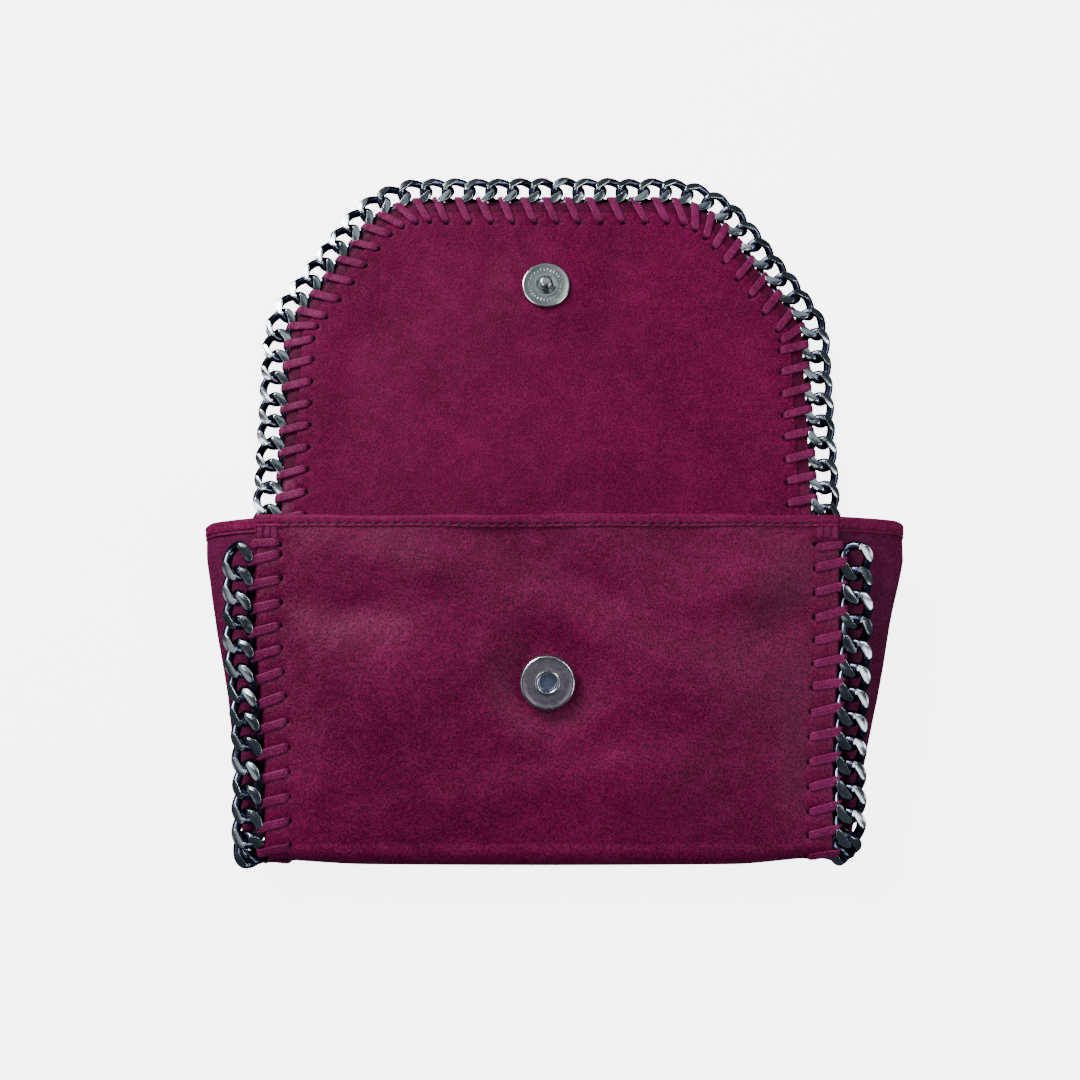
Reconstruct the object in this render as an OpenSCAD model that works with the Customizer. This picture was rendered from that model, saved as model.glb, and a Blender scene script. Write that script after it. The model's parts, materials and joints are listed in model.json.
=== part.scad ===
// Small flap wallet lying on its back with the flap opened flat.
// X runs across the wallet, +Y runs from the bottom fold to the tip of the flap, +Z is up.
// The origin is under the middle of the whole outline, on the surface that it lies on.

/* [Body] */
// Half of the leather strip's width
half_w = 95.4; // [90:0.1:105]
// Length of the front panel from its bottom fold to the mouth edge
front_len = 107; // [104:0.5:110]
// Slope of the front panel when the mouth stands open
open_angle = 12; // [11:0.5:12.5]
// How far the front is drawn in as the flap closes
draw_in = 4.5; // [3:0.5:5]
// Radius of the bottom fold's middle layer
bottom_r = 6; // [5.8:0.1:6.5]
// Thickness of the outer leather
leather_t = 1.4; // [1.2:0.1:1.4]
// Distance from the mouth edge to the fold at the top of the back
fold_reach = 6; // [6:0.5:7]

/* [Flap] */
// Height of the flap's shoulders above the mouth edge
shoulder_y = 82.6; // [80:0.2:85]
// Distance from the mouth edge to the chain's middle at the flap's tip
tip_y = 137.3; // [134:0.1:141]
// Half width of the tip, from corner to corner
tip_half = 63.9; // [60:0.1:67]
// Radius of the chain's path round a shoulder
shoulder_r = 22; // [20:1:25]
// Radius of the chain's path round a tip corner
tip_r = 35; // [30:1:38]
// Clear height between the front panel and the closed flap, middle to middle
closed_gap = 7.6; // [7.6:0.1:8.4]

/* [Chain] */
// Outer length of a link
link_l = 13.2; // [13:0.1:13.4]
// Outer width of a link
link_w = 10.5; // [10.3:0.1:10.6]
// Thickness of the link's wire
wire_d = 1.8; // [1.7:0.1:1.9]
// Tilt of every link, to one side and the other in turn
link_tilt = 22; // [22:0.5:23]
// Distance from link to link on the front, the back and the bridge
pitch = 7.8; // [7.6:0.1:7.9]
// Distance from link to link round the flap, before it is evened out
flap_pitch = 8.4; // [8.3:0.1:8.6]
// Width of the lace
lace_w = 2.8; // [2.4:0.1:2.8]

/* [Snap] */
// Diameter of both halves of the magnetic snap
snap_d = 18; // [16:0.5:18]
// Distance from the mouth edge down to the middle of the socket
socket_drop = 54; // [45:1:60]
// Diameter of the stud
stud_d = 4.8; // [4:0.1:5]
// Diameter of the socket's hole
hole_d = 6.8; // [6.6:0.1:7.2]

/* [Hidden] */
$fn = 48;
half_t = leather_t / 2;
lace_t = 0.7;
lace_half = 3.45;
board_t = 0.8;
facing_t = 0.6;
fold_gap = 1;
facing_gap = 1.9;
chain_off = 5.4;
hole_off = 7.6;
mid_r = (link_w - wire_d) / 2;
straight = (link_l - link_w) / 2;
chain_x = half_w + chain_off;
edge_z = lace_half;

// the outline is centred on the origin
flap_reach = tip_y + mid_r * cos(link_tilt) + wire_d / 2;
bottom_reach = front_len * cos(open_angle) + bottom_r + lace_half;
mouth_y = (bottom_reach - flap_reach) / 2;

// folds, each on the middle of the leather
hinge_y = mouth_y - front_len * cos(open_angle);
arc_z = edge_z + bottom_r;
hinge_z = edge_z + 2 * bottom_r;
mouth_z = hinge_z + front_len * sin(open_angle);
fold_y = mouth_y + fold_reach;

// the bridge is as long as the closed flap needs to lie parallel to the front, which it draws in
closed_a = open_angle - draw_in;
turn = (180 + closed_a) / 2;
reach_closed = fold_reach - front_len * (cos(closed_a) - cos(open_angle));
mouth_closed_z = hinge_z + front_len * sin(closed_a);
rise = closed_gap + sin(closed_a) * reach_closed + cos(closed_a) * (mouth_closed_z - edge_z);
bridge_len = rise / sin(turn - closed_a);
flap_y = fold_y + bridge_len;
closed_y = reach_closed + bridge_len * cos(turn);
closed_z = edge_z + bridge_len * sin(turn) - mouth_closed_z;
stud_y = flap_y + socket_drop + closed_y * cos(closed_a) + closed_z * sin(closed_a);

// path of the chain's middle round the flap, measured from the middle of the tip
turn_a = atan2(tip_y - shoulder_y, chain_x - tip_half);
slant = norm([chain_x - tip_half, tip_y - shoulder_y]);
tip_tan = tip_r * tan(turn_a / 2);
sho_tan = shoulder_r * tan((90 - turn_a) / 2);
d1 = tip_half - tip_tan;
d2 = d1 + tip_r * turn_a * PI / 180;
d3 = d2 + slant - tip_tan - sho_tan;
d4 = d3 + shoulder_r * (90 - turn_a) * PI / 180;
rad = 180 / PI;

function ahead(p, a, d) = [p[0] + d * cos(a), p[1] - d * sin(a), a];
function round_turn(p, a, r, s) =
    [p[0] + r * (sin(a + s) - sin(a)), p[1] - r * (cos(a) - cos(a + s)), a + s];
p1 = [d1, mouth_y + tip_y];
p2 = round_turn(p1, 0, tip_r, turn_a);
p3 = ahead(p2, turn_a, d3 - d2);
p4 = round_turn(p3, turn_a, shoulder_r, 90 - turn_a);
function path(d) =
    d < d1 ? [d, mouth_y + tip_y, 0] :
    d < d2 ? round_turn(p1, 0, tip_r, (d - d1) / tip_r * rad) :
    d < d3 ? ahead(p2, turn_a, d - d2) :
    d < d4 ? round_turn(p3, turn_a, shoulder_r, (d - d3) / shoulder_r * rad) :
    ahead(p4, 90, d - d4);
// a point inboard of the path
function inboard(d, off) = [path(d)[0] - off * sin(path(d)[2]), path(d)[1] - off * cos(path(d)[2])];
path_end = d4 + p4[1] - flap_y;
arc_steps = 8;
function stops(a, b) = [for (i = [0:arc_steps]) a + (b - a) * i / arc_steps];
bends = concat(stops(d1, d2), stops(d3, d4));
function outline(off, base) = concat(
    [for (d = bends) inboard(d, off)],
    [[chain_x - off, base], [off - chain_x, base]],
    [for (i = [len(bends) - 1:-1:0]) [-inboard(bends[i], off)[0], inboard(bends[i], off)[1]]]);

// places of the links, which are the places of the stitches too
first_s = link_l / 2 + 0.6;
front_links = 12;
front_s = [for (i = [0:front_links - 1]) first_s + i * pitch];
back_links = 13;
back_first = hinge_y + 3.3;
back_y = [for (i = [0:back_links - 1]) back_first + i * pitch];
// the closed bridge passes the mouth edge half way between two stitches
mouth_pass = (mouth_closed_z - edge_z) / sin(turn);
bridge_s = [for (i = [1.5, 0.5]) mouth_pass - i * flap_pitch];
flap_last = path_end - link_l / 2 - 3.1;
flap_half = round(flap_last / flap_pitch);
flap_step = flap_last / flap_half;
flap_d = [for (i = [-flap_half:flap_half]) i * flap_step];

// gusset: a flange under the front, a ledge that clears the lacing, the crease, and back again
gusset_in = 81;
gusset_bend = 84;
gusset_ledge = 95.2;
gusset_t = 0.8;
flange_n = half_t + gusset_t / 2;
ledge_n = lace_half + gusset_t / 2 + 0.2;
function front_point(x, s, n) = [x, hinge_y + s * cos(open_angle) - n * sin(open_angle),
    hinge_z + s * sin(open_angle) + n * cos(open_angle)];
function gusset_end(s, y, crease) = [
    front_point(gusset_in, s, -flange_n - 0.3), front_point(gusset_bend, s, -flange_n - 0.3),
    front_point(gusset_ledge, s, -ledge_n), crease,
    [gusset_ledge, y, edge_z + ledge_n],
    [gusset_bend, y, edge_z + flange_n], [gusset_in, y, edge_z + flange_n]];
low_end = gusset_end(5, hinge_y + 5, [103, hinge_y + 5, arc_z]);
high_end = gusset_end(front_len - 1, mouth_y + 2.5, [116, mouth_y + 1.5, 20]);
hem_from = 0.965;
hem_gap = 0.003;
function gusset_point(i, t) = low_end[i] + (high_end[i] - low_end[i]) * t;

leather = "#5a1438";
lining = "#3c1a2c";
metal = "#2e3238";
steel = "#8f9896";
lace = "#641a3e";

module on_front() {
    translate([0, hinge_y, hinge_z]) rotate([open_angle, 0, 0]) children();
}

module plate(x, y_from, y_to, z_from, z_to) {
    translate([-x, y_from, z_from]) cube([2 * x, y_to - y_from, z_to - z_from]);
}

// one link, lying along X, with side giving the way it is tilted
module link(side) {
    rotate([side * link_tilt, 0, 0]) {
        for (end = [0, 180]) rotate([0, 0, end]) {
            translate([straight, 0, 0]) rotate([0, 0, -90])
                rotate_extrude(angle = 180) translate([mid_r, 0]) circle(d = wire_d);
            translate([-straight, mid_r, 0]) rotate([0, 90, 0])
                cylinder(d = wire_d, h = 2 * straight);
        }
    }
}

// the lace's loop, in the plane across the leather's edge; -X is inboard
module lace_loop() {
    reach = chain_off + hole_off;
    rotate([90, 0, 0]) linear_extrude(lace_w, center = true) difference() {
        polygon([
            [-reach - lace_t / 2, -1.5], [-reach - lace_t / 2, 1.5], [-5.7, lace_half],
            [-1.9, lace_half], [-1.9, -lace_half], [-5.7, -lace_half]]);
        polygon([
            [-reach + lace_t / 2, -0.95], [-reach + lace_t / 2, 0.95], [-5.5, lace_half - lace_t],
            [-1.9 - lace_t, lace_half - lace_t], [-1.9 - lace_t, lace_t - lace_half],
            [-5.5, lace_t - lace_half]]);
    }
}

module slot() {
    translate([-chain_off - hole_off, 0, 0]) cube([1.2, lace_w + 0.4, 12], center = true);
}

// side is 1 on the right and -1 on the left
module row(side, places) {
    for (i = [0:len(places) - 1]) translate([side * chain_x, places[i], 0]) {
        mirror([side < 0 ? 1 : 0, 0, 0]) rotate([0, 0, 90]) link(i % 2 == 0 ? 1 : -1);
    }
}

module lace_row(side, places) {
    for (s = places) translate([side * chain_x, s, 0])
        mirror([side < 0 ? 1 : 0, 0, 0]) lace_loop();
}

module slot_rows(places) {
    for (side = [-1, 1], s = places) translate([side * chain_x, s, 0])
        mirror([side < 0 ? 1 : 0, 0, 0]) slot();
}

module round_flap() {
    for (d = flap_d) {
        p = path(abs(d));
        mirror([d < 0 ? 1 : 0, 0, 0]) translate([p[0], p[1], edge_z]) rotate([0, 0, 90 - p[2]]) {
            $turn = round(d / flap_step);
            children();
        }
    }
}

// the back sags onto the surface inside the raised rim that carries the chain
module back_panel() {
    y1 = hinge_y + 8;
    y2 = fold_y - 10;
    z2 = edge_z + half_t;
    color(leather) {
        plate(78, y1, y2, 0, leather_t);
        difference() {
            hull() {
                plate(78, y1, y2, 0, 0.01);
                plate(83, y1 - 5, y2 + 5, z2 - 0.01, z2);
            }
            hull() {
                plate(76.8, y1 + 1, y2 - 1, leather_t, leather_t + 0.01);
                plate(81, y1 - 3, y2 + 3, z2, z2 + 0.01);
            }
        }
        difference() {
            plate(half_w, hinge_y, fold_y - fold_gap, edge_z - half_t, z2);
            plate(82, y1 - 4, y2 + 4, 0, 10);
            slot_rows(back_y);
        }
    }
}

module arc_shell(r_in, r_out, x, from, to) {
    translate([-x, hinge_y, arc_z]) rotate([90, 0, 90]) linear_extrude(2 * x) difference() {
        intersection() {
            circle(r_out);
            polygon([[0, 0], 20 * [cos(from), sin(from)], [-20, -20], [-20, 20],
                20 * [cos(to), sin(to)]]);
        }
        circle(r_in);
    }
}

module bottom_panel() {
    color(leather) difference() {
        arc_shell(bottom_r - half_t, bottom_r + half_t, half_w, -90, 105);
        for (side = [-1, 1]) translate([side * (half_w - hole_off), hinge_y - bottom_r, arc_z])
            cube([1.2, 12, lace_w + 0.4], center = true);
    }
}

module back_board() {
    color("#8a8478") plate(75.5, hinge_y + 10, fold_y - 12, leather_t, leather_t + board_t);
}

module back_lining() {
    z = leather_t + board_t;
    color(lining) plate(75.5, hinge_y + 10, fold_y - 12, z, z + facing_t);
}

// a flat pocket, open towards the mouth
module slip_pocket() {
    z = leather_t + board_t + facing_t;
    color(lining) difference() {
        plate(58, hinge_y + 26, mouth_y - 20, z, z + 1.8);
        plate(56, hinge_y + 28, mouth_y, z - 1, z + 1);
    }
}

module bottom_lining() {
    color(lining) arc_shell(bottom_r - half_t - facing_t, bottom_r - half_t, 80, -90, 90);
}

module gusset_strip(thick, from, to) {
    for (i = [0:5]) hull() {
        for (k = [i, i + 1], t = [from, to]) translate(gusset_point(k, t))
            cube([0.01, 0.01, thick], center = true);
    }
}

module gusset(side) {
    color(leather) mirror([side < 0 ? 1 : 0, 0, 0]) gusset_strip(gusset_t, 0, hem_from);
}

module gusset_hem(side) {
    color(leather) mirror([side < 0 ? 1 : 0, 0, 0]) gusset_strip(gusset_t, hem_from + hem_gap, 1);
}

module chain_back(side) {
    color(metal) translate([0, 0, edge_z]) row(side, back_y);
}

module chain_bottom(side) {
    color(metal) translate([0, hinge_y - bottom_r, arc_z]) rotate([90, 0, 0]) row(side, [0]);
}

module lacing_back(side) {
    color(lace) {
        translate([0, 0, edge_z]) lace_row(side, back_y);
        translate([0, hinge_y - bottom_r, arc_z]) rotate([90, 0, 0]) lace_row(side, [0]);
    }
}

// thin leather at each fold, which bends with its hinge
module fold_strip_bottom() {
    color(leather) plate(half_w, hinge_y - 1, hinge_y + 0.8, hinge_z - 0.4, hinge_z + 0.3);
}

module fold_strip_back() {
    color(leather)
        plate(half_w, fold_y - fold_gap, fold_y + fold_gap, edge_z - half_t, edge_z + half_t);
}

module fold_strip_flap() {
    color(leather)
        plate(half_w, flap_y - fold_gap, flap_y + fold_gap, edge_z - half_t, edge_z + half_t);
}

module prong_slots() {
    for (x = [-1, 1]) translate([5 * x, 0, 0]) cube([1.1, 5.4, 12], center = true);
}

// two legs that go down through the leather and are bent under the washer
module prongs(top, bottom) {
    for (x = [-1, 1]) {
        translate([5 * x - 0.25, -2.5, bottom]) cube([0.5, 5, top - bottom]);
        translate([x > 0 ? 4.75 : -7.75, -2.5, bottom]) cube([3, 5, 0.3]);
    }
}

module washer(z) {
    translate([0, 0, z]) difference() {
        cylinder(d = snap_d - 1, h = 0.5);
        prong_slots();
    }
}

module at_socket() {
    on_front() translate([0, front_len - socket_drop, 0]) children();
}

module at_stud() {
    translate([0, stud_y, edge_z]) children();
}

module front_panel() {
    color(leather) difference() {
        on_front() difference() {
            plate(half_w, 1.2, front_len, -half_t, half_t);
            slot_rows(front_s);
        }
        at_socket() prong_slots();
    }
}

// folded strip over the mouth edge
module front_hem() {
    color(leather) on_front() difference() {
        union() {
            plate(half_w, front_len - 4, front_len + 0.5, -half_t, half_t + 0.5);
            plate(79.5, front_len - 4, front_len + 0.5, -half_t - 0.5, half_t);
        }
        plate(half_w + 1, 0, front_len, -half_t, half_t);
    }
}

module front_board() {
    color("#8a8478") difference() {
        on_front() plate(79.5, 8, front_len - 5, -half_t - board_t, -half_t);
        at_socket() translate([0, 0, -5]) cylinder(d = snap_d + 3, h = 6);
    }
}

module front_lining() {
    z = half_t + board_t;
    color(lining) on_front() plate(79.5, 8, front_len - 5, -z - facing_t, -z);
}

module snap_socket_base() {
    color(steel) at_socket() {
        translate([0, 0, half_t]) cylinder(d = snap_d - 1.2, h = 0.6);
        prongs(half_t + 0.3, -half_t - board_t);
    }
}

module snap_magnet() {
    color("#5c5f63") at_socket() translate([0, 0, half_t + 0.6]) difference() {
        cylinder(d = snap_d - 1.2, h = 2.4);
        translate([0, 0, -1]) cylinder(d = hole_d + 0.6, h = 5);
    }
}

module snap_socket_cap() {
    top = half_t + 3.5;
    color(steel) at_socket() difference() {
        translate([0, 0, half_t]) cylinder(d = snap_d, h = 3.5);
        translate([0, 0, half_t - 1]) cylinder(d = snap_d - 1.2, h = 4);
        translate([0, 0, top - 1]) cylinder(d = hole_d, h = 2);
    }
}

module snap_socket_washer() {
    color(steel) at_socket() washer(-half_t - 0.5);
}

module chain_front(side) {
    color(metal) on_front() row(side, front_s);
}

module lacing_front(side) {
    color(lace) on_front() lace_row(side, front_s);
}

module bridge_panel() {
    color(leather) translate([0, fold_y, edge_z]) difference() {
        plate(half_w, fold_gap, bridge_len - fold_gap, -half_t, half_t);
        slot_rows(bridge_s);
    }
}

module bridge_facing() {
    color(leather) translate([0, fold_y, edge_z])
        plate(84, facing_gap, bridge_len - facing_gap, half_t, half_t + facing_t);
}

module chain_bridge(side) {
    color(metal) translate([0, fold_y, edge_z]) row(side, bridge_s);
}

module lacing_bridge(side) {
    color(lace) translate([0, fold_y, edge_z]) lace_row(side, bridge_s);
}

module flap_panel() {
    color(leather) difference() {
        translate([0, 0, edge_z - half_t])
            linear_extrude(leather_t) polygon(outline(chain_off, flap_y + fold_gap));
        round_flap() slot();
        at_stud() translate([0, 0, half_t - 0.9]) cylinder(d = snap_d, h = 3);
    }
}

module flap_facing() {
    color(leather) difference() {
        translate([0, 0, edge_z + half_t])
            linear_extrude(facing_t) polygon(outline(chain_off + 11, flap_y + facing_gap));
        at_stud() prong_slots();
    }
}

module snap_stud_plate() {
    z = half_t + facing_t;
    color(steel) at_stud() {
        difference() {
            translate([0, 0, z]) cylinder(d = snap_d, h = 1.3);
            translate([0, 0, z + 1]) cylinder(d = hole_d + 0.4, h = 1);
        }
        prongs(z + 0.3, half_t - 0.8);
    }
}

module snap_stud() {
    top = half_t + facing_t + 1.3 + 2.8;
    color(steel) at_stud() rotate_extrude() {
        translate([0, top - 3.1]) square([stud_d / 2, 2.6]);
        translate([0, top - 0.5]) square([stud_d / 2 - 0.5, 0.5]);
        translate([stud_d / 2 - 0.5, top - 0.5]) intersection() {
            circle(0.5);
            square(0.5);
        }
    }
}

module snap_stud_washer() {
    color(steel) at_stud() washer(half_t - 0.5);
}

module chain_flap() {
    color(metal) round_flap() rotate([0, 0, 90]) link($turn % 2 == 0 ? 1 : -1);
}

module lacing_flap() {
    color(lace) round_flap() lace_loop();
}

back_panel();
bottom_panel();
back_board();
back_lining();
slip_pocket();
bottom_lining();
gusset(-1);  // gusset_left
gusset(1);  // gusset_right
gusset_hem(-1);  // gusset_hem_left
gusset_hem(1);  // gusset_hem_right
chain_back(-1);  // chain_back_left
chain_back(1);  // chain_back_right
chain_bottom(-1);  // chain_bottom_left
chain_bottom(1);  // chain_bottom_right
lacing_back(-1);  // lacing_back_left
lacing_back(1);  // lacing_back_right
fold_strip_bottom();
fold_strip_back();
fold_strip_flap();
front_panel();
front_hem();
front_board();
front_lining();
snap_socket_cap();
snap_magnet();
snap_socket_base();
snap_socket_washer();
chain_front(-1);  // chain_front_left
chain_front(1);  // chain_front_right
lacing_front(-1);  // lacing_front_left
lacing_front(1);  // lacing_front_right
bridge_panel();
bridge_facing();
chain_bridge(-1);  // chain_bridge_left
chain_bridge(1);  // chain_bridge_right
lacing_bridge(-1);  // lacing_bridge_left
lacing_bridge(1);  // lacing_bridge_right
flap_panel();
flap_facing();
snap_stud_plate();
snap_stud();
snap_stud_washer();
chain_flap();
lacing_flap();
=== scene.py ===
"""A flap wallet laced with chain: what is seen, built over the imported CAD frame. Lengths here are in mm."""
import json
import math

import bmesh
import bpy
import numpy as np
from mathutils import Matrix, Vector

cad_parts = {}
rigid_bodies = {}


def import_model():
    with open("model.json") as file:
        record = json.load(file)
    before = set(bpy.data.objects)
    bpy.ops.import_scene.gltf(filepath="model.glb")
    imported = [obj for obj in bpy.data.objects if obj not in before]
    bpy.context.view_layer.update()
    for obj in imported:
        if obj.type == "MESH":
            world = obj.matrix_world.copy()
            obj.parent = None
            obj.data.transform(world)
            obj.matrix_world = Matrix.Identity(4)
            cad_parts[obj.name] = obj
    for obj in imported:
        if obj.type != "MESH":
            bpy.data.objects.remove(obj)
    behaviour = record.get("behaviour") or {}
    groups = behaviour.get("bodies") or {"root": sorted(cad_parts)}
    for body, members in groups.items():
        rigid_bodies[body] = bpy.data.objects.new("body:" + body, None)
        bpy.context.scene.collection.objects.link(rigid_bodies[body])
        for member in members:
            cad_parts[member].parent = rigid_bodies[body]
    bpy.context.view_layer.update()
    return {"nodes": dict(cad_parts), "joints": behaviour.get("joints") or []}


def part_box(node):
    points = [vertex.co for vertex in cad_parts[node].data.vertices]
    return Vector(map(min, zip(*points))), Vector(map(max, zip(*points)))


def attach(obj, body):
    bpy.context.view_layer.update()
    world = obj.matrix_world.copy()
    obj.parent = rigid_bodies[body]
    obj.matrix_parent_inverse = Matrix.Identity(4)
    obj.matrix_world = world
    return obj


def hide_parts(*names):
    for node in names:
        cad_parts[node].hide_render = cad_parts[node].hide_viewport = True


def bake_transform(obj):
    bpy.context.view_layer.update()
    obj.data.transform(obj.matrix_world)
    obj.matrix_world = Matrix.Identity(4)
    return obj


for stray in list(bpy.data.objects):
    bpy.data.objects.remove(stray)
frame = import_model()
MM = 0.001
TURN = 2 * math.pi

# ---- camera, lights and world
CAMERA_PLACE = (-0.00313, -0.0902, 0.3594)
CAMERA_TILT = math.radians(11.97)
camera_data = bpy.data.cameras.new("camera")
camera_data.lens = 33.7
camera_data.sensor_width = 36
camera_data.shift_x = 0.002
camera = bpy.data.objects.new("camera", camera_data)
camera.location = CAMERA_PLACE
camera.rotation_euler = (CAMERA_TILT, 0, 0)
bpy.context.scene.collection.objects.link(camera)
bpy.context.scene.camera = camera


def area_light(name, place, size, power, tint):
    """A soft light in metres and watts, turned to the middle of the object."""
    data = bpy.data.lights.new(name, "AREA")
    data.shape = "RECTANGLE"
    data.size, data.size_y = size
    data.energy = power
    data.color = tint
    light = bpy.data.objects.new(name, data)
    light.location = place
    way = -np.array(place, float)
    way /= np.linalg.norm(way)
    light.rotation_euler = (math.acos(-way[2]), 0, math.atan2(-way[0], way[1]))
    bpy.context.scene.collection.objects.link(light)


area_light("key", (-0.75, 0.85, 0.75), (0.5, 0.5), 26.5, (1.0, 0.98, 0.97))
area_light("front", (0.90, -0.55, 0.8), (0.5, 0.5), 3.6, (0.97, 0.98, 1.0))
area_light("strip_left", (-0.60, 0.12, 1.0), (0.25, 0.5), 4, (0.93, 0.97, 1.0))
area_light("strip_right", (0.62, 0.05, 1.0), (0.25, 0.5), 3.5, (0.93, 0.97, 1.0))
area_light("sky", (0, 0.8, 1.3), (1.2, 0.6), 1.7, (0.86, 0.94, 1.0))
area_light("panel_left", (-0.95, -0.45, 1.0), (0.8, 0.8), 1.5, (0.92, 0.96, 1.0))
world = bpy.data.worlds.new("world")
bpy.context.scene.world = world
world.use_nodes = True
background = world.node_tree.nodes["Background"].inputs
background["Color"].default_value = (0.62, 0.72, 0.95, 1)
background["Strength"].default_value = 0.09

# ---- sizes, from the frame
joint = {j["name"]: [v / MM for v in j["pos_m"]] for j in frame["joints"]}
hinge_y, hinge_z = joint["mouth_hinge"][1:]
fold_y, edge_z = joint["flap_fold"][1:]
flap_y = joint["flap_front_fold"][1]
OPEN = math.radians(12)  # how far the mouth is open
FRONT_LEN = 107.0        # from the bottom fold to the mouth
HALF_W = 95.4            # half the leather's width
BOTTOM_R = 6.0           # of the bend at the bottom
CHAIN_OFF = 5.4          # from the leather's edge out to the middle of the chain
CHAIN_X = HALF_W + CHAIN_OFF
HOLE_OFF = 7.6           # from the leather's edge in to the holes
HALF_T = 0.7             # half the leather's thickness
FLAP_OUT = 0.6           # how much further out the flap's leather reaches under the chain
mouth_y = hinge_y + FRONT_LEN * math.cos(OPEN)
arc_z = edge_z + BOTTOM_R
split_back = -60.0
split_bridge = (fold_y + flap_y) / 2


def middle(node):
    low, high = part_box(node)
    return [(a + b) / 2 / MM for a, b in zip(low, high)]


stud = middle("snap_stud")
cap_mid = middle("snap_socket_cap")
# along the front from the bottom fold to the socket's axis, which passes the middle of the cap
socket_s = (cap_mid[1] - hinge_y) * math.cos(OPEN) + (cap_mid[2] - hinge_z) * math.sin(OPEN)


def front_point(x, s, n):
    """Points on the front: x across, s up from the bottom fold and n out of the leather."""
    x, s, n = np.broadcast_arrays(x, s, n)
    return np.stack([x, hinge_y + s * math.cos(OPEN) - n * math.sin(OPEN),
                     hinge_z + s * math.sin(OPEN) + n * math.cos(OPEN)], -1).astype(float)


# ---- materials
class Nodes:
    """A short way to write a node tree."""

    def __init__(self, name):
        self.material = bpy.data.materials.new(name)
        self.material.use_nodes = True
        self.tree = self.material.node_tree
        self.shader = self.tree.nodes["Principled BSDF"]
        self.where = self.tree.nodes.new("ShaderNodeTexCoord").outputs["Object"]

    def add(self, kind, out=0, props=(), **inputs):
        """A node whose inputs are given by name, or by number as i0, i1 and so on; gives one output."""
        node = self.tree.nodes.new(kind)
        for key, value in dict(props).items():
            setattr(node, key, value)
        for key, value in inputs.items():
            numbered = key[0] == "i" and key[1:].isdigit()
            self.put(node.inputs[int(key[1:])] if numbered else node.inputs[key], value)
        return node.outputs[out]

    def put(self, socket, value):
        if isinstance(value, bpy.types.NodeSocket):
            self.tree.links.new(value, socket)
        else:
            socket.default_value = value

    def noise(self, scale, detail=2.0, rough=0.5, stretch=(1, 1, 1)):
        place = self.add("ShaderNodeMapping", Vector=self.where, Scale=stretch)
        return self.add("ShaderNodeTexNoise", Vector=place, Scale=scale, Detail=detail, Roughness=rough)

    def cells(self, scale):
        return self.add("ShaderNodeTexVoronoi", Vector=self.where, Scale=scale)

    def ramp(self, value, low, high, start=0.0, end=1.0):
        return self.add("ShaderNodeMapRange", i0=value, i1=low, i2=high, i3=start, i4=end)

    def math(self, kind, a, b):
        return self.add("ShaderNodeMath", props={"operation": kind}, i0=a, i1=b)

    def mix(self, share, a, b):
        return self.add("ShaderNodeMix", out=2, props={"data_type": "RGBA"}, i0=share, i6=a, i7=b)

    def bump(self, height, distance, strength=1.0, normal=None):
        extra = {} if normal is None else {"Normal": normal}
        return self.add("ShaderNodeBump", Height=height, Distance=distance, Strength=strength, **extra)

    def finish(self, **values):
        for key, value in values.items():
            self.put(self.shader.inputs[key.replace("_", " ")], value)
        return self.material


def rgb(r, g, b):
    """A linear colour from an sRGB one, 0 to 255."""
    def line(v):
        v /= 255
        return v / 12.92 if v <= 0.04045 else ((v + 0.055) / 1.055) ** 2.4
    return (line(r), line(g), line(b), 1)


PORE = (0.020, 0.0003, 0.006, 1)
DEEPEST = 0.08  # how far the roughness goes under its middle value
HIGHEST = 0.12  # and over it


def leather_like(name, dark, mid, light, pore, roughness, pores=0.55, shine=0.08):
    """Leather with broad clouds, patches, fine grain and dark pores, pore of them to a metre."""
    m = Nodes(name)
    broad = m.noise(30, 3)
    patch = m.noise(170, 3)
    grain = m.noise(1500, 3, 0.6)
    pit = m.cells(pore)
    body = m.mix(m.ramp(broad, 0.35, 0.68), dark, mid)
    body = m.mix(m.ramp(patch, 0.45, 0.85, 0, 0.5), body, light)
    body = m.mix(m.ramp(grain, 0.48, 0.72, 0, 0.85), body, light)
    hole = m.ramp(pit, 0.2, 0.58)
    shade = m.mix(m.math("MULTIPLY", m.math("SUBTRACT", 1.0, hole), pores), body, PORE)
    ground = m.bump(m.math("ADD", m.math("MULTIPLY", hole, 0.8), grain), 0.0001, 0.7)
    soft = m.bump(patch, 0.0009, 0.5, ground)
    matt = m.ramp(grain, 0.3, 0.7, roughness - DEEPEST, roughness + HIGHEST)
    return m.finish(Base_Color=shade, Normal=soft, Roughness=matt, Specular_IOR_Level=shine)


def metal(name, dark, light, low, high, metallic=1.0):
    """Metal with clouds of tone and fine scratches, between two values of roughness."""
    m = Nodes(name)
    cloud = m.noise(90, 3)
    fine = m.noise(1100, 2)
    scratch = m.noise(700, 2, 0.6, (1, 9, 1))
    worn = m.math("ADD", fine, m.math("MULTIPLY", scratch, 0.5))
    return m.finish(Base_Color=m.mix(m.ramp(cloud, 0.35, 0.65), dark, light), Metallic=metallic,
                    Roughness=m.ramp(worn, 0.5, 1.0, low, high),
                    Normal=m.bump(m.math("ADD", scratch, fine), 0.00002, 0.25))


def cloth(name, dark, light):
    """Brushed lining cloth with a fine nap."""
    m = Nodes(name)
    nap = m.noise(2400, 4, 0.7)
    broad = m.noise(60, 2)
    body = m.mix(m.ramp(nap, 0.3, 0.7), dark, light)
    body = m.mix(m.ramp(broad, 0.3, 0.8, 0, 0.4), body, dark)
    return m.finish(Base_Color=body, Roughness=0.92, Sheen_Weight=0.35, Normal=m.bump(nap, 0.0002, 0.8))


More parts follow.
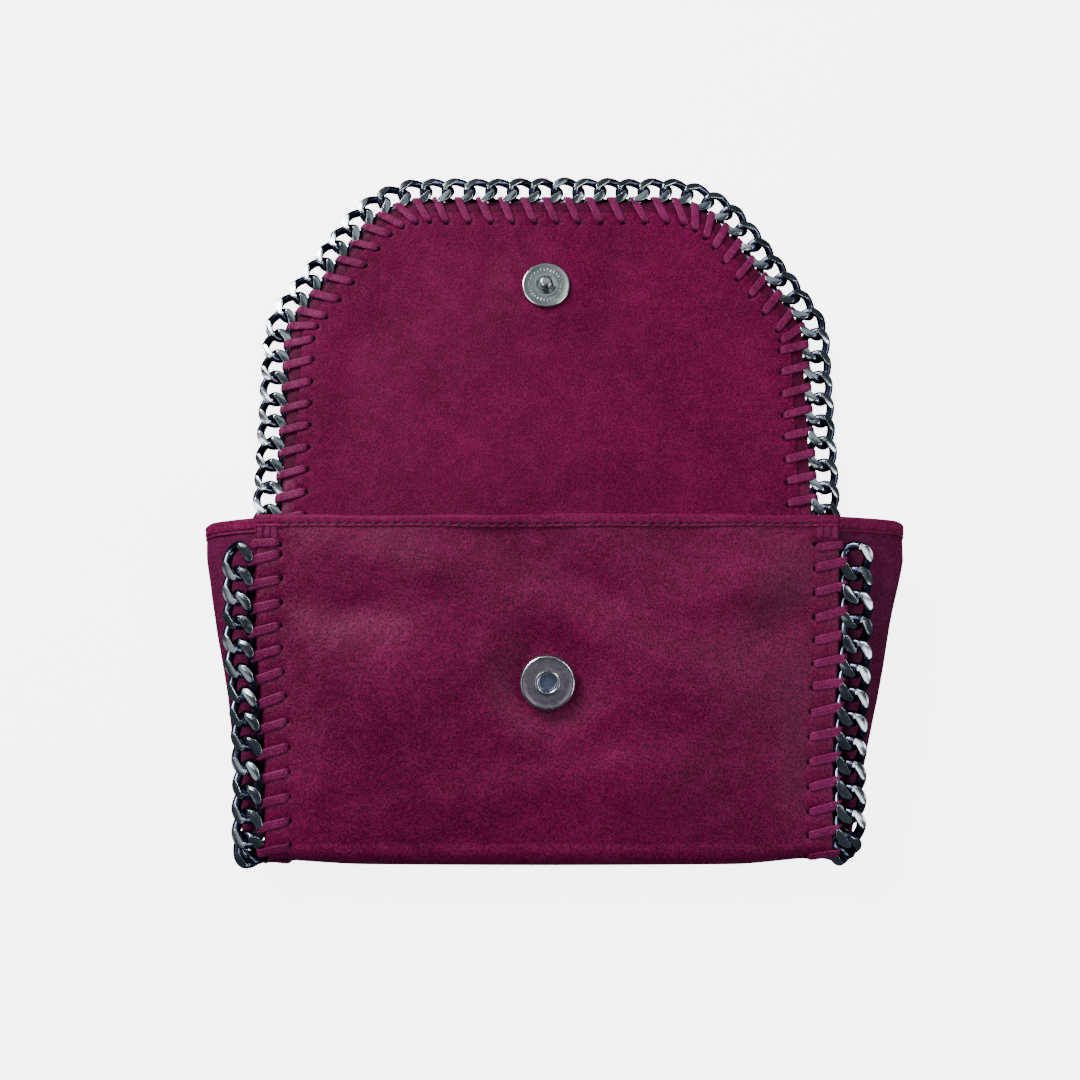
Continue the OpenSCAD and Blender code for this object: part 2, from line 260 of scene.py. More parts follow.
def thread(name, dark, light):
    """Twisted sewing thread."""
    m = Nodes(name)
    ply = m.add("ShaderNodeTexWave", props={"bands_direction": "DIAGONAL"}, Vector=m.where, Scale=900,
                Distortion=1.0)
    return m.finish(Base_Color=m.mix(ply, dark, light), Roughness=0.6, Normal=m.bump(ply, 0.0001, 0.8))


LEATHER = leather_like("burgundy_leather", (0.092, 0.0006, 0.028, 1), (0.135, 0.0012, 0.042, 1),
                       (0.225, 0.0100, 0.086, 1), 1350, 0.40, 0.78, 0.14)
FACING = leather_like("burgundy_facing", (0.090, 0.0006, 0.027, 1), (0.128, 0.0012, 0.040, 1),
                      (0.200, 0.0085, 0.076, 1), 1400, 0.5, 0.78, 0.05)
# darker leather for the flap's bare margin between the facing and the chain: painted shade
MARGIN_PAINTED_SHADE = leather_like("flap_margin_painted_shade", (0.050, 0.0008, 0.016, 1), (0.075, 0.0014, 0.025, 1),
                      (0.120, 0.0050, 0.044, 1), 1000, 0.55)
GUSSET = leather_like("gusset_leather", (0.075, 0.0025, 0.030, 1), (0.105, 0.0050, 0.044, 1),
                      (0.160, 0.0140, 0.080, 1), 1100, 0.6, 0.5)
HEM = leather_like("hem_leather", (0.115, 0.0020, 0.036, 1), (0.165, 0.0050, 0.056, 1),
                   (0.240, 0.0170, 0.094, 1), 1100, 0.5, 0.55)
LACE = leather_like("lace_leather", (0.110, 0.0040, 0.042, 1), (0.165, 0.0100, 0.070, 1),
                    (0.250, 0.0280, 0.122, 1), 1500, 0.42, 0.4)
# near-black leather for the marks at the stitch holes: painted shade
PAINTED_HOLE_SHADE = leather_like("hole_painted_shade", (0.004, 0.0003, 0.002, 1), (0.007, 0.0004, 0.003, 1),
                    (0.012, 0.0008, 0.006, 1), 900, 0.8, 0.3)
LINING = cloth("lining_cloth", rgb(52, 20, 40), rgb(78, 36, 62))
# real stitches, coloured very dark so that they also stand for the shade in the stitch holes along the seams:
# painted shade
THREAD_AND_SHADE = thread("seam_thread_and_painted_shade", (0.012, 0.0004, 0.005, 1), (0.045, 0.0015, 0.018, 1))
GUNMETAL = metal("chain_gunmetal", rgb(58, 62, 80), rgb(86, 92, 114), 0.14, 0.26)
FACET = metal("chain_facet", rgb(128, 136, 140), rgb(176, 186, 190), 0.12, 0.26)
# lighter metal on the bevels round the filed faces, for their bright rims: painted highlight
FACET_RIM_HIGHLIGHT = metal("chain_facet_rim_highlight", rgb(190, 200, 206), rgb(226, 232, 236), 0.2, 0.34)
STEEL = metal("snap_steel", rgb(112, 120, 116), rgb(142, 150, 146), 0.3, 0.46)
SOCKET_STEEL = metal("socket_steel", rgb(148, 136, 150), rgb(182, 172, 184), 0.28, 0.42)
# smoother steel for the snap's rolled rims, nub and ticks, made lighter than the snap's own steel: painted
# highlight
BRIGHT_PAINTED_HIGHLIGHT = metal("snap_painted_highlight", rgb(170, 172, 172), rgb(198, 200, 200), 0.16, 0.28)
FERRITE = metal("magnet_ferrite", rgb(40, 40, 44), rgb(62, 62, 66), 0.5, 0.7, 0.3)
SOCKET_FLOOR = metal("snap_floor", rgb(120, 132, 160), rgb(160, 172, 198), 0.3, 0.42)
CHAIN_METALS = [GUNMETAL, FACET, FACET_RIM_HIGHLIGHT]


# ---- mesh helpers
def make(name, verts, faces, materials, which=None, smooth=40):
    """A mesh object from points in mm; which holds each face's material number."""
    data = bpy.data.meshes.new(name)
    points = [tuple(v) for v in np.asarray(verts, float) * MM]
    data.from_pydata(points, [], [tuple(map(int, f)) for f in faces])
    for material in materials if isinstance(materials, (list, tuple)) else [materials]:
        data.materials.append(material)
    if which is not None:
        data.polygons.foreach_set("material_index", np.asarray(which, np.int32))
    work = bmesh.new()
    work.from_mesh(data)
    bmesh.ops.recalc_face_normals(work, faces=work.faces)
    work.to_mesh(data)
    work.free()
    data.polygons.foreach_set("use_smooth", [True] * len(data.polygons))
    data.set_sharp_from_angle(angle=math.radians(smooth))
    data.update()
    obj = bpy.data.objects.new(name, data)
    bpy.context.scene.collection.objects.link(obj)
    return obj


def unit(v):
    return v / np.maximum(np.linalg.norm(v, axis=-1, keepdims=True), 1e-9)


def run_lengths(points):
    """Length along a line to each of its points."""
    return np.concatenate([[0], np.cumsum(np.linalg.norm(np.diff(points, axis=0), axis=1))])


def grid_normals(points):
    """Unit normals of a grid of points."""
    return unit(np.cross(np.gradient(points, axis=0), np.gradient(points, axis=1)))


def thick_sheet(name, points, half, materials):
    """A closed sheet round a grid of middle points, half as thick as half says on each side."""
    rows, cols = points.shape[:2]
    normal = grid_normals(points)
    half = np.broadcast_to(half, (rows, cols))[..., None]
    above = (points + normal * half).reshape(-1, 3)
    below = (points - normal * half).reshape(-1, 3)
    total = rows * cols
    number = np.arange(total).reshape(rows, cols)
    quads = np.stack([number[:-1, :-1], number[1:, :-1], number[1:, 1:], number[:-1, 1:]], -1)
    quads = quads.reshape(-1, 4)
    border = np.concatenate([number[0, :], number[1:, -1], number[-1, -2::-1], number[-2:0:-1, 0]])
    after = np.roll(border, -1)
    walls = np.stack([border, after, after + total, border + total], -1)
    faces = np.concatenate([quads, quads[:, ::-1] + total, walls])
    return make(name, np.concatenate([above, below]), faces, materials, smooth=60)


def rim(edge, half):
    """Half thickness near an edge, so that the edge is round."""
    near = np.clip(edge / half, 0, 1)
    return half * np.sqrt(np.clip(1 - (1 - near) ** 2, 0.05, 1))


def step(value, low, high):
    """A smooth step from 0 at low to 1 at high."""
    t = np.clip((value - low) / (high - low), 0, 1)
    return t * t * (3 - 2 * t)


def waves(x, y, seed, size, count=8):
    """Soft seeded undulation, about 1 high."""
    rng = np.random.default_rng(seed)
    total = 0
    for _ in range(count):
        turn = rng.uniform(0, TURN)
        length = size * rng.uniform(0.7, 1.6)
        phase = rng.uniform(0, TURN)
        total = total + np.sin(TURN * (x * math.cos(turn) + y * math.sin(turn)) / length + phase)
    return total / math.sqrt(count)


def bumps(x, y, places):
    """Broad soft folds: middle, half sizes, turn in degrees and height of each."""
    total = 0
    for cx, cy, rx, ry, turn, height in places:
        c, s = math.cos(math.radians(turn)), math.sin(math.radians(turn))
        u, v = (x - cx) * c + (y - cy) * s, (y - cy) * c - (x - cx) * s
        total = total + height * np.exp(-(u / rx) ** 2 - (v / ry) ** 2)
    return total


WIDEST = 2.2  # between two rows or columns away from the edges
GROWTH = 1.15


def edge_steps(inner):
    """Distances from an edge, close together at the rim and the stitches."""
    steps = [0, 0.12, 0.35, 0.7, 1.2] + [1.9 + 0.75 * i for i in range(13)]
    while steps[-1] < inner:
        steps.append(min(inner, steps[-1] + min(WIDEST, GROWTH * (steps[-1] - steps[-2]))))
    return np.array(steps)


def columns(half):
    """Places across a sheet, -1 to 1, close together near both edges."""
    steps = edge_steps(half)
    return np.concatenate([-(half - steps), (half - steps[:-1])[::-1]]) / half


def rows_between(start, end, pitch):
    return np.linspace(start, end, max(2, int(abs(end - start) / pitch) + 1))


# ---- the path of the leather and of the chain
TIP_HALF = 63.9      # half width where the tip's line meets the slant
SHOULDER_Y = 82.6    # from the mouth to where the slant meets the side
TIP_Y = 137.3        # from the mouth to the tip
TIP_R = 35.0
SHOULDER_R = 22.0
RUN_STEPS = 60


def flap_path_parts():
    """The chain's middle line on the flap's right side: x, y and turn, and the length along it."""
    turn = math.atan2(TIP_Y - SHOULDER_Y, CHAIN_X - TIP_HALF)
    slant = math.hypot(CHAIN_X - TIP_HALF, TIP_Y - SHOULDER_Y)
    tip_tan = TIP_R * math.tan(turn / 2)
    shoulder_tan = SHOULDER_R * math.tan((math.pi / 2 - turn) / 2)
    points = [(0.0, mouth_y + TIP_Y, 0.0)]
    lengths = [0.0]

    def run(length, turning):
        x, y, a = points[-1]
        for _ in range(RUN_STEPS):
            a_mid = a + turning / RUN_STEPS / 2
            x += length / RUN_STEPS * math.cos(a_mid)
            y -= length / RUN_STEPS * math.sin(a_mid)
            a += turning / RUN_STEPS
            points.append((x, y, a))
            lengths.append(lengths[-1] + length / RUN_STEPS)

    run(TIP_HALF - tip_tan, 0)
    run(TIP_R * turn, turn)
    run(slant - tip_tan - shoulder_tan, 0)
    run(SHOULDER_R * (math.pi / 2 - turn), math.pi / 2 - turn)
    run(points[-1][1] - flap_y, 0)
    run(flap_y - fold_y, 0)
    return np.array(points), np.array(lengths)


flap_points, flap_lengths = flap_path_parts()
flap_end = flap_lengths[-RUN_STEPS - 1]
bridge_end = flap_lengths[-1]


def flap_path(d):
    """Middle of the chain on the right side, d along from the middle of the tip: x, y and turn."""
    return [np.interp(d, flap_lengths, flap_points[:, i]) for i in range(3)]


def nearest(x, y, lines):
    """Distance from points to the nearest of several straight lines."""
    px, py = x.ravel(), y.ravel()
    best = np.full(px.shape, 1e9)
    for (ax, ay), (bx, by) in lines:
        dx, dy = bx - ax, by - ay
        t = np.clip(((px - ax) * dx + (py - ay) * dy) / (dx * dx + dy * dy), 0, 1)
        best = np.minimum(best, np.hypot(px - ax - t * dx, py - ay - t * dy))
    return best.reshape(x.shape)


def flap_outline(off):
    """The path moved inboard by off, as x and y from the middle of the tip to the bridge."""
    x, y, a = flap_points.T
    return np.stack([x - off * np.sin(a), y - off * np.cos(a)], -1)


def half_width(off):
    """A function that gives the flap's half width at any y."""
    line = flap_outline(off)
    keep = line[:, 1] < line[0, 1] - 1e-6
    xs = np.concatenate([[line[~keep][-1, 0]], line[keep, 0]])
    ys = np.concatenate([[line[0, 1]], line[keep, 1]])
    return lambda y: np.interp(y, ys[::-1], xs[::-1])


def outline_distance(x, y, off):
    """Distance in from the flap's outline."""
    line = flap_outline(off)[::3]
    return nearest(np.abs(x), y, zip(line[:-1], line[1:]))


# the pouch's path runs from the back fold down the back, round the bottom and up the front
back_run = [(y, edge_z) for y in np.linspace(fold_y, hinge_y, 220)]
arc_run = [(hinge_y + BOTTOM_R * math.cos(a), arc_z + BOTTOM_R * math.sin(a))
           for a in np.radians(np.linspace(-92, -257, 60))]
PAST_MOUTH = 1.0
front_run = [(hinge_y + s * math.cos(OPEN), hinge_z + s * math.sin(OPEN))
             for s in np.linspace(0.3, FRONT_LEN + PAST_MOUTH, 220)]
pouch_line = np.array(back_run + arc_run + front_run)
pouch_len = run_lengths(pouch_line)
fine_q = np.linspace(0, pouch_len[-1], 2400)
fine_line = np.stack([np.interp(fine_q, pouch_len, pouch_line[:, i]) for i in (0, 1)], -1)
SMOOTH_REACH = 11
kernel = np.hanning(2 * SMOOTH_REACH + 1)
kernel /= kernel.sum()
lead_in = fine_line[:1] + (fine_line[:1] - fine_line[1:SMOOTH_REACH + 1])[::-1]
lead_out = fine_line[-1:] + (fine_line[-1:] - fine_line[-SMOOTH_REACH - 1:-1])[::-1]
padded_line = np.concatenate([lead_in, fine_line, lead_out])
fine_line = np.stack([np.convolve(padded_line[:, i], kernel, "valid") for i in (0, 1)], -1)
fine_way = unit(np.gradient(fine_line, axis=0))
# places along that path: the mouth's edge, the front's fold line and the start of the bottom's bend
Q_MOUTH = pouch_len[-1] - PAST_MOUTH
Q_HINGE = Q_MOUTH - FRONT_LEN
Q_BOTTOM = fold_y - hinge_y
Q_BEND = Q_BOTTOM + 9.4


def pouch_path(q):
    """Point, way and outer normal of the leather's middle at q along the pouch."""
    y, z = (np.interp(q, fine_q, fine_line[:, i]) for i in (0, 1))
    way_y, way_z = (np.interp(q, fine_q, fine_way[:, i]) for i in (0, 1))
    zero = np.zeros_like(y)
    return np.stack([zero, y, z], -1), np.stack([zero, way_y, way_z], -1), np.stack([zero, -way_z, way_y], -1)


# ---- places of the links and stitches
# by side, left -1 and right 1, because the two sides of the real wallet differ a little
PULL_IN = {-1: 3.0, 1: 2.0}                            # how far the sides draw in towards the bottom
ROLL = {-1: math.radians(9), 1: math.radians(-2)}      # of the front's links about the chain
CORNER_IN = {-1: 1.1, 1: 1.9}                          # how far the bottom corners are drawn in
TUCK = {-1: (0.3, 1.7), 1: (2.2, 2.4)}                 # of the links there: across, and into the bend


def narrowing(x, q):
    """Share of x that is left where the pouch draws in towards its bottom."""
    pull = np.where(np.asarray(x) < 0, PULL_IN[-1], PULL_IN[1])
    return 1 - pull / HALF_W * step(q, 20, 80) * (1 - step(q - Q_HINGE, 26, 74))


LINKS = 28                               # on each side of the pouch, past the one at the back fold
LAST_LINK = 92.3                         # up the front
PITCH = (Q_HINGE + LAST_LINK) / LINKS
flap_count = round(flap_end / 8.42)      # about 8.4 mm to a link
flap_step = flap_end / flap_count
bridge_step = (bridge_end - flap_end) / 4
SLOPE = math.tan(math.radians(14))       # of the stitches
SLOPE_TIP = math.tan(math.radians(22))   # of those at the flap's tip
SHIFT = 9.4                              # out from the hole to where a stitch crosses its place


def corner_in(x, q):
    """How far the bottom corners are drawn in towards the middle of the bend."""
    most = np.where(np.asarray(x) < 0, CORNER_IN[-1], CORNER_IN[1])
    return most * step(np.abs(x), 62, 94) * np.exp(-((q - Q_BEND) / 9) ** 2)


def pouch_place(q, side):
    """A link's middle, way and outer normal at q on one side, and the middle before it is tucked in."""
    def spot(at_q):
        point, _, out = pouch_path(at_q)
        x = side * (CHAIN_X - HALF_W * (1 - narrowing(side, at_q)))
        return np.array([x, point[1], point[2]]) - out * corner_in(x, at_q)
    normal = pouch_path(q)[2]
    way = side * unit(spot(q + 0.5) - spot(q - 0.5))
    normal = unit(normal - way * (normal @ way))
    near = math.exp(-((q - Q_BEND) / 8) ** 2)
    across, inward = TUCK[side]
    return spot(q) - normal * (inward * near) - np.array([side * across * near, 0, 0]), way, normal, spot(q)


def flap_place(d, side):
    """The same at d along the flap's chain."""
    x, y, a = flap_path(d)
    spot = np.array([side * x, y, edge_z])
    return spot, np.array([math.cos(a), -side * math.sin(a), 0]), np.array([0, 0, -1.0]), spot


def group_places(side):
    """The places of one side's links by group; the last value is -1 where the leather's inside is seen."""
    groups = {"fold_back": [(*pouch_place(0, side), -1)]}
    groups["back"] = [(*pouch_place(k * PITCH, side), 1) for k in range(1, 15)]
    groups["bottom"] = [(*pouch_place(k * PITCH, side), 1) for k in (15, 16)]
    groups["front"] = [(*pouch_place(k * PITCH, side), 1) for k in range(17, LINKS + 1)]
    groups["bridge"] = [(*flap_place(flap_end + i * bridge_step, side), -1) for i in (1, 2, 3)]
    groups["fold_flap"] = [(*flap_place(flap_end, side), -1)]
    first = 0 if side > 0 else 1
    groups["flap"] = [(*flap_place(i * flap_step, side), -1) for i in range(first, flap_count)]
    return groups


# ---- links
FACET_TILT = math.radians(11)
FILED, FILED_RIM_HIGHLIGHT = 1, 2  # material numbers; the round wire is 0, and 2 is the bevels' painted highlight
EDGE_BEVEL = 0.16
SMALLEST_FACET = 3        # in square mm


def build_link(a, b, c, wire, cut):
    """One curb link as points, faces and material numbers: a twisted ring of wire, filed on both sides.

    Its middle line has half axes a and b and rises and falls by c; cut is the height of the filed faces.
    """
    turns, sides = 44, 14
    t = np.linspace(0, 2 * math.pi, turns, endpoint=False)
    middle_line = np.stack([a * np.cos(t), b * np.sin(t), -c * np.sin(2 * t)], -1)
    way = unit(np.roll(middle_line, -1, 0) - np.roll(middle_line, 1, 0))
    out = unit(np.cross(way, [0, 0, 1.0]))
    up = np.cross(out, way)
    f = np.linspace(0, 2 * math.pi, sides, endpoint=False)
    around = np.cos(f)[None, :, None] * out[:, None] + np.sin(f)[None, :, None] * up[:, None]
    ring = middle_line[:, None] + wire * around
    work = bmesh.new()
    verts = [work.verts.new(p) for p in ring.reshape(-1, 3)]
    for i in range(turns):
        for j in range(sides):
            k, m = (i + 1) % turns, (j + 1) % sides
            corners = (i * sides + j, k * sides + j, k * sides + m, i * sides + m)
            work.faces.new([verts[corner] for corner in corners])
    for way_up in (1, -1):
        for strand in (1, -1):
            half = [v for v in work.verts if v.co.y * strand > 0.6 and v.co.z * way_up > 0.2]
            chosen = set(half)
            edges = [e for e in work.edges if e.verts[0] in chosen and e.verts[1] in chosen]
            faces = [f for f in work.faces if all(v in chosen for v in f.verts)]
            slope = (0, strand * math.sin(FACET_TILT), way_up * math.cos(FACET_TILT))
            spot = (0, strand * b * 0.75, way_up * cut)
            bmesh.ops.bisect_plane(work, geom=half + edges + faces, plane_co=spot, plane_no=slope,
                                   clear_outer=True, dist=1e-4)
            bmesh.ops.holes_fill(work, edges=[e for e in work.edges if e.is_boundary], sides=0)
    bmesh.ops.remove_doubles(work, verts=work.verts, dist=0.02)
    flat = [face for face in work.faces if len(face.verts) > 6]
    rims = list({e for face in flat for e in face.edges})
    bmesh.ops.bevel(work, geom=rims, offset=EDGE_BEVEL, segments=1, affect="EDGES", clamp_overlap=True)
    bmesh.ops.recalc_face_normals(work, faces=work.faces)
    work.verts.ensure_lookup_table()
    work.verts.index_update()
    points = np.array([v.co[:] for v in work.verts])
    faces = [[v.index for v in face.verts] for face in work.faces]
    filed = {face for face in work.faces if face.calc_area() > SMALLEST_FACET
             and abs(abs(face.normal.z) - math.cos(FACET_TILT)) < 0.01}
    # the bevels round the filed faces take the lighter metal: painted highlight
    rim_highlight_faces = {other for face in filed for e in face.edges for other in e.link_faces} - filed
    which = [FILED if face in filed else FILED_RIM_HIGHLIGHT if face in rim_highlight_faces else 0 for face in work.faces]
    work.free()
    return points, faces, which


LINK = build_link(5.2, 3.95, 1.5, 1.55, 2.05)
LINK_FLAP = build_link(5.4, 4.2, 1.5, 1.45, 2.0)


def join(parts):
    """Several point and face lists as one."""
    points, faces, which, start = [], [], [], 0
    for p, f, w in parts:
        points.append(p)
        faces += [[i + start for i in face] for face in f]
        which += list(w)
        start += len(p)
    return np.concatenate(points), faces, which


def placed_link(shape, place, seed, roll_by):
    """A link at its place, leaning and rolled a little at random."""
    centre, way, normal = place[:3]
    rng = np.random.default_rng(seed)
    lean, roll = rng.normal(0, 0.075, 2)
    roll += roll_by
    normal = unit(normal + roll * np.cross(normal, way) + lean * way)
    across = unit(np.cross(normal, way))
    way = np.cross(across, normal)
    points, faces, which = shape
    return centre + points @ np.stack([way, across, normal]), faces, which


# ---- laces
def smooth_loop(points, count):
    """A closed smooth curve through the points, as count even steps."""
    p = np.array(points, float)
    out = []
    n = len(p)
    for i in range(n):
        a, b, c, d = p[i - 1], p[i], p[(i + 1) % n], p[(i + 2) % n]
        for t in np.linspace(0, 1, 6, endpoint=False):
            out.append(0.5 * (2 * b + (c - a) * t + (2 * a - 5 * b + 4 * c - d) * t * t
                              + (3 * b - a - 3 * c + d) * t ** 3))
    closed = np.vstack([out, out[:1]])
    length = run_lengths(closed)
    at = np.linspace(0, length[-1], count, endpoint=False)
    return np.stack([np.interp(at, length, closed[:, i]) for i in (0, 1)], -1)


def lace_loop(top, edge_top, low, strand, reach):
    """Side view of one stitch: u out from the hole, and height over the middle of the leather."""
    over = [(-0.15, top - 0.45), (0.5, top), (2.5, top + 0.08), (5.0, top + 0.02), (7.2, edge_top)]
    round_strand = [(8.9, strand), (reach - 0.6, strand - 0.35), (reach, 0.5)]
    back = [(u, -height) for u, height in round_strand[::-1]]
    under = [(u, -low) for u in (7.2, 5.0, 2.5, 0.5)]
    return over + round_strand + back + under + [(-0.15, 0.45 - low)]


LOOP_FRONT = smooth_loop(lace_loop(0.98, 1.1, 1.05, 1.62, 10.0), 34)
LOOP_FLAP = smooth_loop(lace_loop(1.62, 1.45, 1.0, 1.7, 10.3), 34)
# round the leather's bare edge, and up under the hem
LOOP_EDGE = smooth_loop([(-0.15, 0.5), (0.5, 0.95), (3, 1.0), (6, 1.05), (7.9, 0.95), (8.6, 0.3), (8.6, -0.3),
                         (7.9, -0.95), (6, -1.05), (3, -1.05), (0.5, -1.0), (-0.15, -0.5)], 26)
LOOP_HEM = smooth_loop([(-0.15, 0.4), (0.5, 0.84), (1.6, 1.0), (3.2, 1.0), (4.5, 0.8), (4.9, 0.25), (4.9, -0.25),
                        (4.5, -0.8), (3.2, -0.95), (1.6, -0.95), (0.5, -0.9), (-0.15, -0.4)], 22)
LACE_HALF = 1.62      # half the lace's width
LACE_MIDDLE = 5.2     # about the middle of a loop, out from the hole


def lace(loop, hole, out, along, up, slope, half, seed):
    """A flat lace round a loop: out from the hole, along the edge and up to the side seen."""
    rng = np.random.default_rng(seed)
    slope = slope + rng.normal(0, 0.03)
    half = half * rng.uniform(0.93, 1.05)
    way = unit(np.roll(loop, -1, 0) - np.roll(loop, 1, 0))
    outer = np.stack([way[:, 1], -way[:, 0]], -1)
    outer *= np.sign(np.sum(outer * (loop - [LACE_MIDDLE, 0])))
    w_top = np.linspace(-1, 1, 11)
    w_low = np.linspace(0.8, -0.8, 5)
    ribs = 0.06 * np.cos(3 * math.pi * w_top) * (np.abs(w_top) < 0.9)
    thick_top = 0.40 * (1 - 0.7 * np.abs(w_top) ** 5) + ribs
    w = np.concatenate([w_top, w_low])
    height = np.concatenate([thick_top, np.full(len(w_low), -0.34)])
    u = loop[:, 0]
    wide = half * (0.8 + 0.2 * step(u, -0.1, 1.0)) * (1 - 0.12 * step(u, 8.4, 10.4))
    shift = slope * (u - SHIFT)
    flat = loop[:, None] + outer[:, None] * height[None, :, None]
    side = shift[:, None] + wide[:, None] * w[None, :]
    points = hole + flat[..., :1] * out + flat[..., 1:] * up + side[..., None] * along
    n, m = side.shape
    number = np.arange(n * m).reshape(n, m)
    ahead, beside = np.roll(number, -1, 0), np.roll(number, -1, 1)
    faces = np.stack([number, ahead, np.roll(ahead, -1, 1), beside], -1).reshape(-1, 4)
    return points.reshape(-1, 3), faces.tolist(), [0] * len(faces)


def ball(centre, a, b, c, rings, sides):
    """A small closed ellipsoid whose half axes are the vectors a, b and c."""
    points = [centre + c]
    for i in range(1, rings):
        f = math.pi * i / rings
        for j in range(sides):
            g = TURN * j / sides
            points.append(centre + c * math.cos(f) + math.sin(f) * (a * math.cos(g) + b * math.sin(g)))
    points.append(centre - c)
    faces = [[0, 1 + j, 1 + (j + 1) % sides] for j in range(sides)]
    for i in range(rings - 2):
        s = 1 + i * sides
        for j in range(sides):
            k = (j + 1) % sides
            faces.append([s + j, s + sides + j, s + sides + k, s + k])
    last, s = len(points) - 1, 1 + (rings - 2) * sides
    faces += [[last, s + (j + 1) % sides, s + j] for j in range(sides)]
    return np.array(points), faces, [0] * len(faces)


def stitch(centre, along, up, half_long, thick):
    """One visible sewing stitch, half sunk."""
    across = np.cross(up, along)
    return ball(centre, along * half_long, across * thick, up * thick * 0.8, 6, 8)


def place_slope(place):
    """How far along the edge a stitch runs for each mm out from its hole."""
    _, way, _, _, seen = place
    if seen > 0:
        return SLOPE
    return -(SLOPE + (SLOPE_TIP - SLOPE) * abs(way[0]))


def placed_lace(place, seed, loop):
    """One stitch round the leather's edge and a strand of the link there."""
    _, way, normal, centre, seen = place
    out = np.cross(way, normal)
    hole = centre - out * (CHAIN_OFF + HOLE_OFF)
    return lace(loop, hole, out, way, normal * seen, place_slope(place), LACE_HALF, seed)


def hole_shade_mark(place, height):
    """Painted shade: a dark ball at the mouth of a stitch's hole, just past the stitch's end."""
    _, way, normal, centre, seen = place
    out = np.cross(way, normal)
    spot = centre - out * (CHAIN_OFF + HOLE_OFF + 0.55) - way * place_slope(place) * (SHIFT + 0.6)
    if seen > 0:
        x, q = pouch_flat(spot)
        on_path, _, normal = pouch_path(q)
        spot = np.array([spot[0], on_path[1], on_path[2]]) - normal * corner_in(spot[0], q)
    spot = spot + normal * seen * height
    return ball(spot, out * 1.05, way * 1.05, normal * 0.4, 5, 12)


def flat_stitch(place, to_flat):
    """The stitch's line on the leather: from the hole to the edge."""
    _, way, normal, centre, _ = place
    out = np.cross(way, normal)
    slope = place_slope(place)
    hole = centre - out * (CHAIN_OFF + HOLE_OFF) - way * slope * SHIFT
    edge = centre - out * CHAIN_OFF - way * slope * (SHIFT - HOLE_OFF)
    return to_flat(hole), to_flat(edge)


def press_field(x, y, lines):
    """Nearness to any stitch, 0 to 1, and nearness to any hole."""
    hole = np.full(x.shape, 1e9)
    for (ax, ay), (bx, by) in lines:
        hole = np.minimum(hole, np.hypot(x - ax + 0.07 * (bx - ax), y - ay + 0.07 * (by - ay)))
    return np.exp(-(nearest(x, y, lines) / 1.7) ** 2), np.exp(-(hole / 1.15) ** 2)


def edge_relief(edge, press, hole):
    """Leather pressed down by the laces, and standing proud between them."""
    band = step(edge, 0.4, 1.6) * (1 - step(edge, 6.8, 10.5))
    return band * (0.34 - 0.62 * press) - 0.55 * hole


# ---- the leather
places = {side: group_places(side) for side in (-1, 1)}


def pouch_flat(point):
    """x and the path's q of a point on the pouch's leather."""
    q = fine_q[np.argmin(np.hypot(fine_line[:, 0] - point[1], fine_line[:, 1] - point[2]))]
    return point[0] / narrowing(point[0], q), q


pouch_lines = [flat_stitch(p, pouch_flat) for side in (-1, 1) for g in ("back", "bottom", "front")
               for p in places[side][g]]
flap_lines = [flat_stitch(p, lambda v: (v[0], v[1])) for side in (-1, 1)
              for g in ("bridge", "fold_back", "fold_flap", "flap") for p in places[side][g]]
EXTRA_S = 97.9  # up the front to the stitch over the bare edge, above the last link
for side in (-1, 1):
    pouch_lines.append(((side * (HALF_W - HOLE_OFF), Q_HINGE + EXTRA_S),
                        (side * HALF_W, Q_HINGE + EXTRA_S - 0.3)))

FRONT_FOLDS = [(-49, 93, 32, 8, -8, 0.9), (-73, 78, 26, 6.5, -12, -0.9), (-53, 56, 22, 15, 10, 0.8),
               (16, 82, 34, 8, -24, -0.8), (66, 86, 20, 9, 20, 1.1), (76, 70, 18, 6, 14, -0.7),
               (52, 50, 30, 13, -16, 0.6), (-16, 31, 52, 8, 4, -0.5), (-70, 30, 18, 12, 30, 0.5),
               (30, 22, 40, 9, 8, 0.4), (0, 70, 20, 6, 4, -0.35)]
FOLD_DEPTH = 1.9
CROWN = 3.3


def pouch_rise(x, q):
    """How far the pouch's leather stands out from its path."""
    s = q - Q_HINGE
    edge = HALF_W - np.abs(x)
    on_front = step(s, 2, 16)
    on_back = 1 - step(q, Q_BOTTOM - 12, Q_BOTTOM - 2)
    from_snap = step(np.hypot(x, s - socket_s), 9, 24)
    press, hole = press_field(x, q, pouch_lines)
    sag = step(edge, 9, 20) * (1.5 + 1.0 * step(q, 5, 16)) * on_back
    folds = bumps(x, s, FRONT_FOLDS) + 0.22 * waves(x, s, 3, 42) + 0.08 * waves(x, s, 9, 15)
    crown = CROWN * (1 - np.exp(-np.clip(s, 0, None) / 14)) * (1 - step(s, 60, FRONT_LEN))
    crown = crown * (1 - (x / HALF_W) ** 4)
    flat_mouth = 1 - step(s, FRONT_LEN - 6, FRONT_LEN)
    front = step(edge, 5, 20) * flat_mouth * from_snap * (FOLD_DEPTH * on_front * folds + crown)
    bow = 0.7 * (1 - (x / HALF_W) ** 2) * np.exp(-((q - (Q_BOTTOM + 9)) / 9) ** 2) - corner_in(x, q)
    under = 0.125 * waves(x, q, 5, 60) * on_back * step(edge, 12, 24)
    seen = step(s, -22, -10)
    return sag + front + bow + under + edge_relief(edge, press, hole) * (0.4 + 0.6 * seen)


